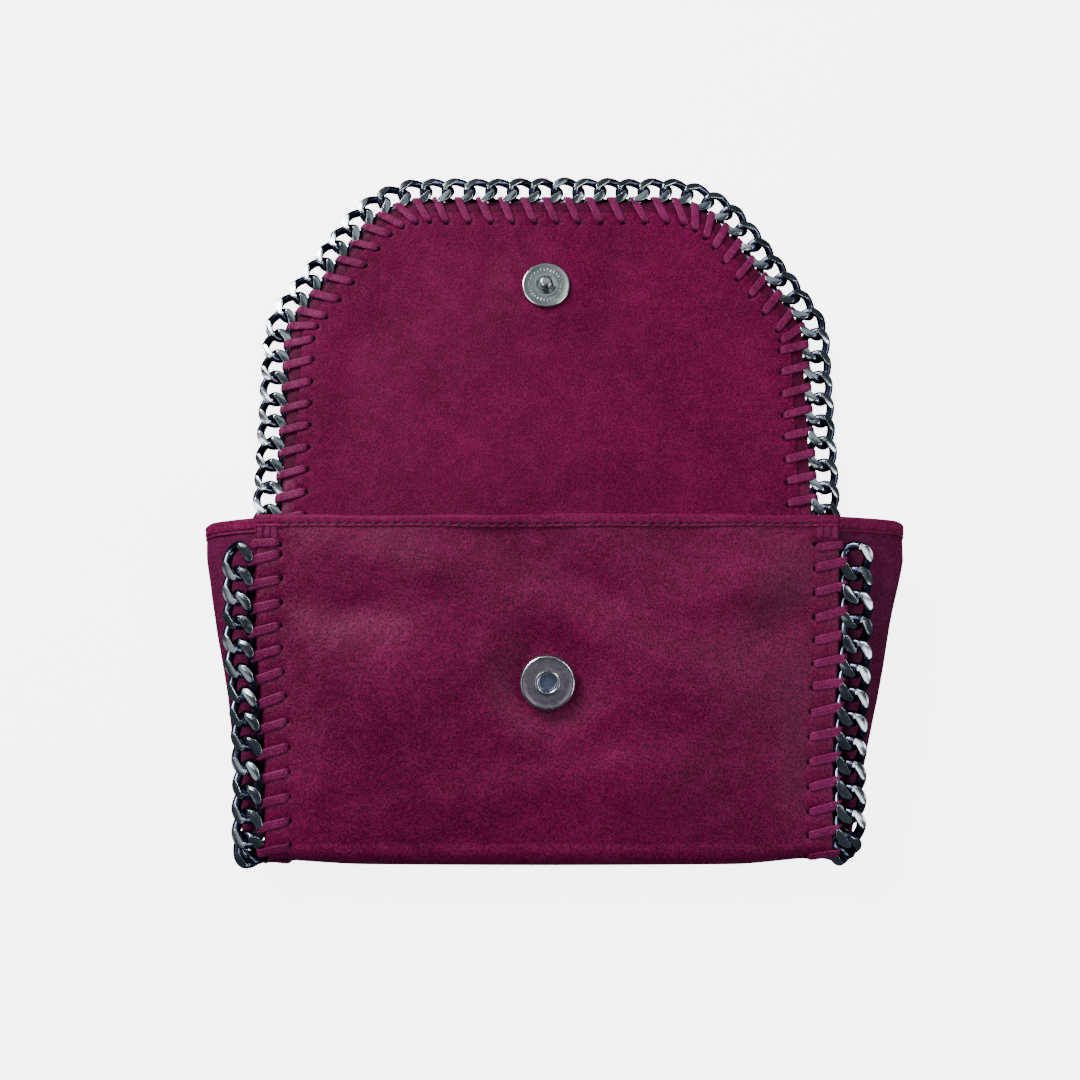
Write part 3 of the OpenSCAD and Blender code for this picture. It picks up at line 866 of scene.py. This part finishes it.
FLAP_FOLDS = [(-36, 92, 24, 8, -14, 0.7), (-58, 70, 22, 9, 24, -0.6), (40, 24, 26, 8, 18, 0.7),
              (60, 70, 18, 10, -34, 0.6), (-10, 42, 44, 9, 4, -0.5), (-66, 36, 16, 16, 0, 0.5),
              (20, 104, 22, 6, 0, -0.4), (66, 40, 14, 18, 10, -0.5)]


def flap_rise(x, y, edge):
    """How far the open flap's leather stands over its path, without the stitches."""
    from_snap = step(np.hypot(x - stud[0], y - stud[1]), 10, 26)
    folds = bumps(x, y, FLAP_FOLDS) + 0.2 * waves(x, y, 13, 45) + 0.08 * waves(x, y, 19, 15)
    return from_snap * step(edge, 8, 26) * (folds * 0.7 - 1.5)


unit_columns = columns(HALF_W)
BEND_START, BEND_END = Q_BOTTOM - 4, Q_HINGE + 4


def pouch_rows(start, end, pitches):
    """Rows down the back, round the bend and up the front, each with its own pitch."""
    back, bend, front = pitches
    return np.concatenate([rows_between(start, BEND_START, back)[:-1],
                           rows_between(BEND_START, BEND_END, bend)[:-1], rows_between(BEND_END, end, front)])


def pouch_grid(q_values, x_values, lift=0.0):
    """Middle points of a sheet on the pouch, lifted off the leather's middle, with its x and q."""
    x, q = np.meshgrid(x_values, q_values)
    point, _, normal = pouch_path(q)
    rise = pouch_rise(x, q) + lift
    out = point + normal * rise[..., None]
    out[..., 0] = x * narrowing(x, q)
    return out, x, q


# back (lower part), bottom and front
q_rows = pouch_rows(fold_y - split_back, Q_MOUTH, (2.0, 0.75, 0.95))
grid, across_x, _ = pouch_grid(q_rows, unit_columns * HALF_W)
wrap = thick_sheet("leather_wrap", grid, rim(HALF_W - np.abs(across_x), HALF_T), LEATHER)


def flap_grid(y_values, off, lift):
    """The same for the flap and bridge, with their edge off inboard of the chain; x, and distance in."""
    widths = half_width(off)(y_values)
    x = unit_columns[None, :] * widths[:, None]
    y = np.repeat(y_values[:, None], len(unit_columns), 1)
    edge_leather = outline_distance(x, y, CHAIN_OFF)
    press, hole = press_field(x, y, flap_lines)
    rise = flap_rise(x, y, edge_leather) + edge_relief(edge_leather, press, hole) * (1 if lift else 0.8)
    return np.stack([x, y, edge_z + rise + lift], -1), x, edge_leather


# upper back and lower bridge, in one piece over the back fold
y_up = rows_between(split_bridge, fold_y, 1.2)
q_down = np.concatenate([rows_between(0, 16, 1.2)[1:-1], rows_between(16, fold_y - split_back, 2.0)])
upper, upper_x, _ = flap_grid(y_up, CHAIN_OFF - FLAP_OUT, 0.0)
lower, lower_x, _ = pouch_grid(q_down, unit_columns * HALF_W)
fold_grid = np.concatenate([upper, lower])
fold_x = np.concatenate([upper_x, lower_x])
to_edge = np.abs(fold_x).max(axis=1, keepdims=True) - np.abs(fold_x)
fold_piece = thick_sheet("leather_fold", fold_grid, rim(to_edge, HALF_T), LEATHER)

BEND_ROOM = 20  # past the front fold, where the rows stay close for the bend
TIP_ROWS = 12   # from the tip, where they close up for the rim


def flap_rows(top, pitch):
    """Rows from the middle of the bridge to the flap's tip."""
    return np.concatenate([rows_between(split_bridge, flap_y + BEND_ROOM, 1.2)[:-1],
                           rows_between(flap_y + BEND_ROOM, top - TIP_ROWS, pitch)[:-1],
                           (top - edge_steps(TIP_ROWS))[::-1]])


# upper bridge and flap
y_flap = flap_rows(flap_outline(CHAIN_OFF - FLAP_OUT)[0, 1], 0.9)
grid, _, inboard = flap_grid(y_flap, CHAIN_OFF - FLAP_OUT, 0.0)
flap_piece = thick_sheet("leather_flap", grid, rim(inboard + FLAP_OUT, HALF_T), [LEATHER, MARGIN_PAINTED_SHADE])
# the flap's upward faces, bare between the facing and the chain, take the darker leather: painted shade
for face in flap_piece.data.polygons:
    face.material_index = int(face.normal.z > 0.3)

# facings
FACE_T = 0.3
FACE_IN = 4.0
y_face = flap_rows(flap_outline(CHAIN_OFF + FACE_IN)[0, 1], 0.85)
grid, _, inboard = flap_grid(y_face, CHAIN_OFF + FACE_IN, HALF_T + FACE_T)
facing_flap = thick_sheet("facing_flap", grid, rim(inboard - FACE_IN, FACE_T), FACING)
face_low = -20.0
q_down = rows_between(0, fold_y - face_low, 1.2)[1:]
upper, upper_x, _ = flap_grid(y_up, CHAIN_OFF + FACE_IN, HALF_T + FACE_T)
lower, lower_x, _ = pouch_grid(q_down, unit_columns * (HALF_W - FACE_IN), -HALF_T - FACE_T)
lower[..., 2] += 0.05
fold_x = np.concatenate([upper_x, lower_x])
facing_bridge = thick_sheet("facing_bridge", np.concatenate([upper, lower]),
                            rim(HALF_W - FACE_IN - np.abs(fold_x), FACE_T), FACING)

# one lining down the back, round the bottom and up behind the front
LINE_HALF_W = 82.0
LINE_HALF_T = 0.3
LINE_LIFT = -HALF_T - 0.35
q_line = pouch_rows(fold_y - face_low - 2, Q_MOUTH - 3.4, (2.4, 1.0, 2.0))
grid, _, _ = pouch_grid(q_line, np.linspace(-LINE_HALF_W, LINE_HALF_W, 100), LINE_LIFT)
lining = thick_sheet("lining_wrap", grid, LINE_HALF_T, LINING)


# ---- slip pocket on the back lining
POCKET_TOP, POCKET_LOW, POCKET_HALF_W = -34, -92, 58
POCKET_HEM = 4.5


def pocket_grid():
    """Middle points of the slip pocket, sewn down at its sides and bottom, and half its thickness."""
    y_values = rows_between(POCKET_TOP, POCKET_LOW, 1.5)
    x_values = np.linspace(-POCKET_HALF_W, POCKET_HALF_W, 70)
    x, y = np.meshgrid(x_values, y_values)
    point, _, _ = pouch_grid(fold_y - y_values, x_values, LINE_LIFT)
    seam = np.minimum(POCKET_HALF_W - np.abs(x), y - POCKET_LOW)
    belly = step(seam, 0, 14) * (0.5 + 1.1 * step(y, -60, POCKET_TOP))
    belly = belly + 0.15 * waves(x, y, 31, 26) * step(seam, 2, 12)
    point[..., 2] += 0.65 + belly
    return point, np.where(y > POCKET_TOP - POCKET_HEM, 0.62, 0.36)


pocket = thick_sheet("pocket_cloth", *pocket_grid(), LINING)


# ---- turned hem along the mouth of the front
HEM_DEEP = 3.5    # how far it reaches down the front
HEM_PROUD = 0.65  # how far it stands over the leather's edge
HEM_PITCH = 3.1   # of its stitches
SEAM_IN = 0.95    # from its lower edge to the seam
STITCH_HALF = 0.95
hem_s = np.concatenate([[0, 0.12, 0.3, 0.5, 0.7, 0.9, 1.1, 1.4, 1.8, 2.2, 2.6],
                        np.linspace(2.9, HEM_DEEP + HEM_PROUD, 12)])
hem_x = np.unique(np.concatenate([unit_columns * HALF_W, np.linspace(-88, 88, 400)]))


def hem_half(deep, along, total, full):
    """Half thickness of a hem: rounded at both ends, with a groove along its seam."""
    low = np.sqrt(np.clip(1 - (1 - np.clip(deep / 0.45, 0, 1)) ** 2, 0, 1))
    high = np.sqrt(np.clip(1 - np.clip((deep - (total - full)) / full, 0, 0.985) ** 2, 0, 1))
    groove = np.exp(-((deep - SEAM_IN) / 0.36) ** 2)
    pucker = 0.5 + 0.5 * np.cos(TURN * along / HEM_PITCH)
    swell = 0.07 * waves(along, deep * 3, 41, 17)
    return np.maximum((full + swell) * (0.66 + 0.34 * low) * high - groove * (0.3 + 0.2 * pucker), 0.08)


def front_hem_grid():
    """Middle points of the mouth's hem, wavy at its top, with x and the height over its lower edge."""
    x, deep = np.meshgrid(hem_x, hem_s)
    s = FRONT_LEN - HEM_DEEP + deep
    rise = pouch_rise(x, np.minimum(Q_HINGE + s, Q_MOUTH))
    wave = 0.25 * np.sin(x / 23 + 0.6) + 0.12 * np.sin(x / 7.1)
    out = rise * (1 - step(deep, 0, 3)) + 0.12 * wave
    return front_point(x, s + wave * step(deep, 2.4, 4.2), out), x, deep


grid, across_x, over = front_hem_grid()
mouth_half = hem_half(over, across_x, HEM_DEEP + HEM_PROUD, 1.25) * rim(HALF_W - np.abs(across_x), 1.0)
hem_front = thick_sheet("hem_front", grid, mouth_half, HEM)


def surface_stitches(points, normals, thick):
    """Stitches along a line of points with normals."""
    length = run_lengths(points)
    out = []

    def along(values, d):
        return np.array([np.interp(d, length, values[:, i]) for i in range(3)])

    for d in np.arange(HEM_PITCH / 2, length[-1], HEM_PITCH):
        way = unit(along(points, min(d + 0.5, length[-1])) - along(points, max(d - 0.5, 0)))
        out.append(stitch(along(points, d), way, unit(along(normals, d)), STITCH_HALF, thick))
    return out


def sheet_line(points, row, lift):
    """A row of a sheet's middle grid, lifted along its normals to one face."""
    normal = grid_normals(points)
    return points[row] + normal[row] * np.asarray(lift)[..., None], normal[row] * np.sign(np.mean(lift))


seam_row = int(np.argmin(np.abs(hem_s - SEAM_IN)))
hem_sign = 1 if grid_normals(grid)[seam_row, len(hem_x) // 2, 2] > 0 else -1
inside_x = np.abs(hem_x) < 86.5
hem_seam = sheet_line(grid, seam_row, hem_sign * np.full(len(hem_x), 0.88))
stitches_front = surface_stitches(hem_seam[0][inside_x], hem_seam[1][inside_x], 0.5)

# ---- gussets
GUSSET_IN = 82.0             # where it is sewn on, under the laces
GUSSET_TOP = -13.6           # y of its upper edge
GUSSET_LOW = hinge_y + 3.5
GUSSET_HEM = 4.2
GUSSET_HALF_T = 0.5
UNDER_FRONT = 1.55           # below the middle of the front's leather
OVER_BACK_Z = 4.75
CREASE_ROUND = 0.06
# how far out the crease stands, at these places down from the mouth
CREASE_Y = [-118, -100, -88.7, -72.2, -55.6, -38.7, -25.2, -14]
CREASE_X = {-1: [100.5, 103.2, 104.6, 106.8, 110.1, 114.2, 116.2, 116.4],
            1: [100.5, 104.2, 106.6, 110.8, 114.4, 118.0, 121.3, 121.6]}


def gusset_grid(side, deep_values, across_values):
    """Middle points of a gusset, deep in from the mouth's edge and across from the back to the front."""
    v, deep = np.meshgrid(across_values, deep_values)
    w = 2 * v - 1
    soft = np.sqrt(w * w + CREASE_ROUND ** 2) - CREASE_ROUND
    soft = soft / (math.sqrt(1 + CREASE_ROUND ** 2) - CREASE_ROUND)
    dip = 1.1 * np.exp(-(w / 0.07) ** 2)
    slant = 1.6 * np.clip(-w, 0, 1) - 0.7 * np.clip(w, 0, 1) ** 2
    edge_y = GUSSET_TOP - dip + slant + (0.9 if side > 0 else 0.1) * (1 - np.abs(w))
    y = edge_y - deep
    top = hinge_z + (y - hinge_y) * math.tan(OPEN) - UNDER_FRONT
    bottom = OVER_BACK_Z
    mid_z = (top + bottom) / 2 + 0.4
    crease = np.interp(y, CREASE_Y, CREASE_X[side])
    z = np.where(w > 0, mid_z + (top - mid_z) * soft, mid_z + (bottom - mid_z) * soft)
    x = crease - (crease - GUSSET_IN) * soft
    z = z + np.sign(w) * np.sin(math.pi * soft) * 0.035 * (top - bottom)
    loose = np.sin(math.pi * np.clip(np.abs(w), 0, 1)) * step(deep, 0, 10)
    ripple = 0.45 * waves(y, x * 1.3, 51 + side, 30) + 0.15 * waves(y, x, 61 + side, 11)
    z = z + np.sign(w) * loose * ripple
    x = x + 0.35 * waves(y, v * 20, 71 + side, 34) * (1 - soft)
    return np.stack([side * x, y, z], -1)


across = np.unique(np.concatenate([np.linspace(0, 1, 44), np.linspace(0.44, 0.56, 15)]))
gusset_long = GUSSET_TOP - GUSSET_LOW
gusset_deep = np.concatenate([[1.6, 2.4, 3.2], np.arange(GUSSET_HEM, gusset_long, 1.5), [gusset_long]])
hem_deep = np.concatenate([np.linspace(-0.9, 1.2, 11), [1.8, 2.4, 2.8], np.linspace(3.0, GUSSET_HEM, 10)])
WORD = {-1: "left", 1: "right"}
gussets, gusset_hems, gusset_stitches = {}, {}, {}
for side, word in WORD.items():
    leather_grid = gusset_grid(side, gusset_deep, across)
    gussets[side] = thick_sheet("gusset_" + word + "_leather", leather_grid, GUSSET_HALF_T, GUSSET)
    hem_grid = gusset_grid(side, hem_deep, across)
    along = np.broadcast_to(run_lengths(hem_grid[5]), hem_grid.shape[:2])
    deep = np.broadcast_to((GUSSET_HEM - hem_deep)[:, None], hem_grid.shape[:2])
    half = hem_half(deep, along, GUSSET_HEM - hem_deep[0], 1.0)
    gusset_hems[side] = thick_sheet("gusset_" + word + "_hem", hem_grid, half, HEM)
    row = int(np.argmin(np.abs(hem_deep - (GUSSET_HEM - SEAM_IN))))
    sign = 1 if grid_normals(hem_grid)[row, -4, 2] > 0 else -1
    seam = sheet_line(hem_grid, row, np.full(len(across), sign * 0.58))
    gusset_stitches[side] = surface_stitches(seam[0][2:-2], seam[1][2:-2], 0.36)

# ---- snap
def lathe(name, profile, origin, axis, materials, sides=96):
    """A turned piece: profile of (radius, height, material number) from the axis back to the axis."""
    axis = np.array(axis, float)
    side = np.array([1.0, 0, 0])
    other = np.cross(axis, side)
    angle = np.linspace(0, TURN, sides, endpoint=False)
    points, faces, numbers, rings = [], [], [], []
    for r, h, _ in profile:
        if r == 0:
            rings.append([len(points)])
            points.append(origin + axis * h)
        else:
            rings.append(list(range(len(points), len(points) + sides)))
            points += [origin + axis * h + r * (side * math.cos(a) + other * math.sin(a)) for a in angle]
    for (one, two), (_, _, number) in zip(zip(rings, rings[1:]), profile[1:]):
        for j in range(sides):
            k = (j + 1) % sides
            if len(one) == 1:
                faces.append([one[0], two[j], two[k]])
            elif len(two) == 1:
                faces.append([one[j], two[0], one[k]])
            else:
                faces.append([one[j], two[j], two[k], one[k]])
            numbers.append(number)
    return make(name, np.array(points), faces, materials, numbers, 34)


front_normal = np.array([0, -math.sin(OPEN), math.cos(OPEN)])
socket_origin = front_point(0.0, socket_s, 0.0)
# material 1 marks the rolled rims, which take the lighter steel: painted highlight
socket_profile = [
    (0, 0.35, 0), (8.7, 0.35, 0), (9.0, 0.6, 0), (9.0, 3.35, 0), (8.93, 3.75, 1), (8.72, 4.02, 1),
    (8.4, 4.16, 1), (8.05, 4.17, 1), (7.8, 4.08, 0), (6.6, 4.03, 0), (5.2, 3.98, 0), (4.2, 3.96, 0),
    (3.9, 4.02, 1), (3.6, 4.14, 1), (3.3, 4.12, 1), (3.0, 3.9, 1), (2.8, 3.5, 1), (2.68, 3.0, 0),
    (2.66, 1.6, 0), (2.6, 1.5, 0), (0, 1.5, 2)]
socket_metals = [SOCKET_STEEL, BRIGHT_PAINTED_HIGHLIGHT, SOCKET_FLOOR]
socket = lathe("snap_socket", socket_profile, socket_origin, front_normal, socket_metals)

stud_origin = np.array([0, stud[1], edge_z])
plate_profile = [
    (0, 1.05, 0), (8.6, 1.05, 0), (8.95, 1.25, 0), (9.0, 1.6, 0), (9.0, 2.15, 1), (8.9, 2.42, 1),
    (8.65, 2.58, 1), (8.3, 2.6, 1), (8.05, 2.5, 0), (6.4, 2.46, 0), (4.4, 2.44, 0), (4.05, 2.46, 1),
    (3.8, 2.42, 0), (3.62, 2.2, 0), (3.4, 2.12, 0), (0, 2.12, 0)]
plate = lathe("snap_plate", plate_profile, stud_origin, (0, 0, 1), [STEEL, BRIGHT_PAINTED_HIGHLIGHT])
# the nub is all lighter steel: painted highlight
nub_profile = [(0, 2.0, 0), (2.75, 2.0, 0), (2.75, 2.3, 0), (2.5, 2.5, 0), (2.4, 2.8, 0), (2.4, 4.45, 0),
               (2.3, 4.9, 0), (2.05, 5.2, 0), (1.6, 5.36, 0), (0.9, 5.4, 0), (0, 5.4, 0)]
nub = lathe("snap_nub", nub_profile, stud_origin, (0, 0, 1), [BRIGHT_PAINTED_HIGHLIGHT])
# a ring of plain raised ticks, in the lighter steel of painted highlight
TICKS = 30
TICK_R = 6.1
TICK_Z = 2.44
marks = []
for i in range(TICKS):
    a = TURN * i / TICKS
    ray = np.array([math.cos(a), math.sin(a), 0])
    across_ray = np.array([-math.sin(a), math.cos(a), 0])
    length = (0.85, 0.55, 0.7)[i % 3]
    spot = stud_origin + ray * TICK_R + np.array([0, 0, TICK_Z])
    marks.append(ball(spot, ray * length, across_ray * 0.2, np.array([0, 0, 0.13]), 4, 8))
mark_points, mark_faces, mark_which = join(marks)
plate_marks = make("snap_plate_marks", mark_points, mark_faces, BRIGHT_PAINTED_HIGHLIGHT, mark_which)

# ---- chain, laces and painted hole shade, by body
def make_joined(name, parts, materials, smooth=40):
    """One object from several parts."""
    points, faces, which = join(parts)
    return make(name, points, faces, materials, which, smooth)


HOLE_HEIGHT = 0.42  # of a hole's painted shade mark over the middle of the leather


def pieces_of(group, side, tag):
    """Links, laces and painted hole shade marks of a group of places."""
    spots = places[side][group]
    on_flap = spots[0][4] < 0
    roll_by = ROLL[side] * side if group == "front" else 0.0
    shape, loop, height = (LINK_FLAP, LOOP_FLAP, 1.0) if on_flap else (LINK, LOOP_FRONT, HOLE_HEIGHT)
    links = [placed_link(shape, p, 100 * tag + i, roll_by) for i, p in enumerate(spots)]
    laces = [placed_lace(p, 200 * tag + i, loop) for i, p in enumerate(spots)]
    holes = [hole_shade_mark(p, height) for p in spots]
    return links, laces, holes


def corner_laces(side):
    """Laces over the hem at one end of the mouth, and one round the bare edge under it."""
    laces, holes = [], []
    up = front_normal
    along = np.array([0, math.cos(OPEN), math.sin(OPEN)])
    out = np.array([side * 1.0, 0, 0])
    for i, x in enumerate((93.4, 91.2, 89.0)):
        s = FRONT_LEN - 7.7 + 0.4 * (i % 2)
        foot = front_point(side * x, s, 0.0)
        laces.append(lace(LOOP_HEM, foot, along, out, up, 0.03 * (i - 1), 0.95, 900 + i + side))
    hole = front_point(side * (HALF_W - HOLE_OFF), EXTRA_S, 0.0)
    laces.append(lace(LOOP_EDGE, hole, out, side * along, up, 0.1, 1.45, 910 + side))
    # a dark ball at the hole: painted shade
    holes.append(ball(hole - out * 0.6 + up * HOLE_HEIGHT, out * 0.95, along, up * 0.4, 5, 12))
    return laces, holes


built = {}
for side in (-1, 1):
    for tag, group in enumerate(("back", "bottom", "front", "bridge", "fold_back", "fold_flap", "flap")):
        links, laces, holes = pieces_of(group, side, tag + (10 if side > 0 else 20))
        if group == "front":
            extra = corner_laces(side)
            laces += extra[0]
            holes += extra[1]
        built[group, side] = (links, laces, holes)


def add(obj, body, replaced=(), bend=None):
    """Ride on a body, or, when bend is given, stay unparented with the transform baked in; hide the CAD nodes it
    stands for.
    """
    if bend is None:
        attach(obj, body)
    else:
        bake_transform(obj)
    if replaced:
        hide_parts(*replaced)


def at(y, z):
    return (0, y * MM, z * MM)


REACH = 10.0      # each way from a fold, for the bend places handed to add(), which does not read them
LONG_WAY = 150    # so far each way from a fold, for the bend places of what lies on the fold; add() does not read them


def over_fold(lower, upper, y, reach):
    return lower, upper, at(y - reach, edge_z), at(y + reach, edge_z)


OVER_BOTTOM = ("pouch", "front", at(hinge_y, 10.0), at(hinge_y, 17.0))
OVER_BACK = over_fold("pouch", "flap_bridge", fold_y, REACH)
OVER_FLAP = over_fold("flap_bridge", "flap", flap_y, REACH)
HALF_BACK = over_fold("pouch", "flap_bridge", fold_y, LONG_WAY)
HALF_FLAP = over_fold("flap_bridge", "flap", flap_y, LONG_WAY)
front_mid = front_point(0.0, 50.0, -1.0)
GUSSET_BEND = ("pouch", "front", tuple((front_mid - 24 * front_normal) * MM), tuple(front_mid * MM))

add(wrap, None, ("back_panel", "bottom_panel", "front_panel", "fold_strip_bottom"), OVER_BOTTOM)
add(fold_piece, None, ("fold_strip_back", "bridge_panel"), OVER_BACK)
add(flap_piece, None, ("flap_panel", "fold_strip_flap"), OVER_FLAP)
add(facing_flap, None, ("flap_facing",), OVER_FLAP)
add(facing_bridge, None, ("bridge_facing",), OVER_BACK)
LINED = ("back_lining", "back_board", "bottom_lining", "front_lining", "front_board")
add(lining, None, LINED, OVER_BOTTOM)
add(pocket, "pouch", ("slip_pocket",))
add(hem_front, "front", ("front_hem",))
add(make_joined("stitches_mouth", stitches_front, THREAD_AND_SHADE), "front")
for side, word in WORD.items():
    add(gussets[side], None, ("gusset_" + word,), GUSSET_BEND)
    add(gusset_hems[side], None, ("gusset_hem_" + word,), GUSSET_BEND)
    add(make_joined("stitches_gusset_" + word, gusset_stitches[side], THREAD_AND_SHADE), None, (), GUSSET_BEND)

flap_parts = ([], [], [])
ROUTES = {"back": ("pouch", None), "bottom": ("pouch", None), "front": ("front", None),
          "bridge": ("flap_bridge", None), "fold_back": (None, HALF_BACK), "fold_flap": (None, HALF_FLAP)}
for side, word in WORD.items():
    for group, (body, bend) in ROUTES.items():
        links, laces, holes = built[group, side]
        name = group + "_" + word
        chain_node = () if group.startswith("fold") else ("chain_" + name,)
        lace_node = () if group.startswith("fold") or group == "bottom" else ("lacing_" + name,)
        add(make_joined("links_" + name, links, CHAIN_METALS, 28), body, chain_node, bend)
        add(make_joined("laces_" + name, laces, LACE, 60), body, lace_node, bend)
        # the hole marks are dark balls: painted shade
        add(make_joined("holes_" + name, holes, PAINTED_HOLE_SHADE), body, (), bend)
    for store, part in zip(flap_parts, built["flap", side]):
        store.extend(part)
add(make_joined("links_flap", flap_parts[0], CHAIN_METALS, 28), "flap", ("chain_flap",))
add(make_joined("laces_flap", flap_parts[1], LACE, 60), "flap", ("lacing_flap",))
# the flap's hole marks are dark balls too: painted shade
add(make_joined("holes_flap", flap_parts[2], PAINTED_HOLE_SHADE), "flap")

add(socket, "front", ("snap_socket_cap",))
add(plate, "flap", ("snap_stud_plate",))
add(nub, "flap", ("snap_stud",))
add(plate_marks, "flap")

for name, node in frame["nodes"].items():
    if not node.hide_render:
        node.data.materials.clear()
        node.data.materials.append(FERRITE if name == "snap_magnet" else STEEL)

# ---- floor
FLOOR_DOWN = 0.0003   # in metres, as everything here
FAR = 3.0
RING_R = 0.98 * FAR
RING_SIDES = 48
RING_LOW, RING_HIGH = -0.001, 4.0
GLOW = 4.9
RING_GLOW = 5.5


def pale(name, glow):
    """A pale studio surface that the camera sees and that throws no light on the object."""
    paint = Nodes(name)
    return paint.finish(Base_Color=(0.93, 0.93, 0.93, 1), Roughness=0.9, Emission_Color=(1, 1, 1, 1),
                        Emission_Strength=glow, Normal=paint.bump(paint.noise(300, 3), 0.0001, 0.1))


def staged(name, verts, faces, material):
    """A stage surface that lights and reflects nothing on the object."""
    data = bpy.data.meshes.new(name)
    data.from_pydata(verts, [], faces)
    data.materials.append(material)
    obj = bpy.data.objects.new(name, data)
    obj.visible_diffuse = False
    obj.visible_glossy = False
    bpy.context.scene.collection.objects.link(obj)
    return obj


corners = [(x * FAR, y * FAR, -FLOOR_DOWN) for x, y in ((-1, -1), (1, -1), (1, 1), (-1, 1))]
staged("floor", corners, [(0, 1, 2, 3)], pale("floor_paper", GLOW))
turns = [TURN * i / RING_SIDES for i in range(RING_SIDES)]
ring = [(RING_R * math.cos(t), RING_R * math.sin(t), z) for z in (RING_LOW, RING_HIGH) for t in turns]
after = [(i + 1) % RING_SIDES for i in range(RING_SIDES)]
walls = [(i, k, RING_SIDES + k, RING_SIDES + i) for i, k in enumerate(after)]
backdrop = staged("backdrop", ring, walls, pale("backdrop_paper", RING_GLOW))
backdrop.visible_shadow = False
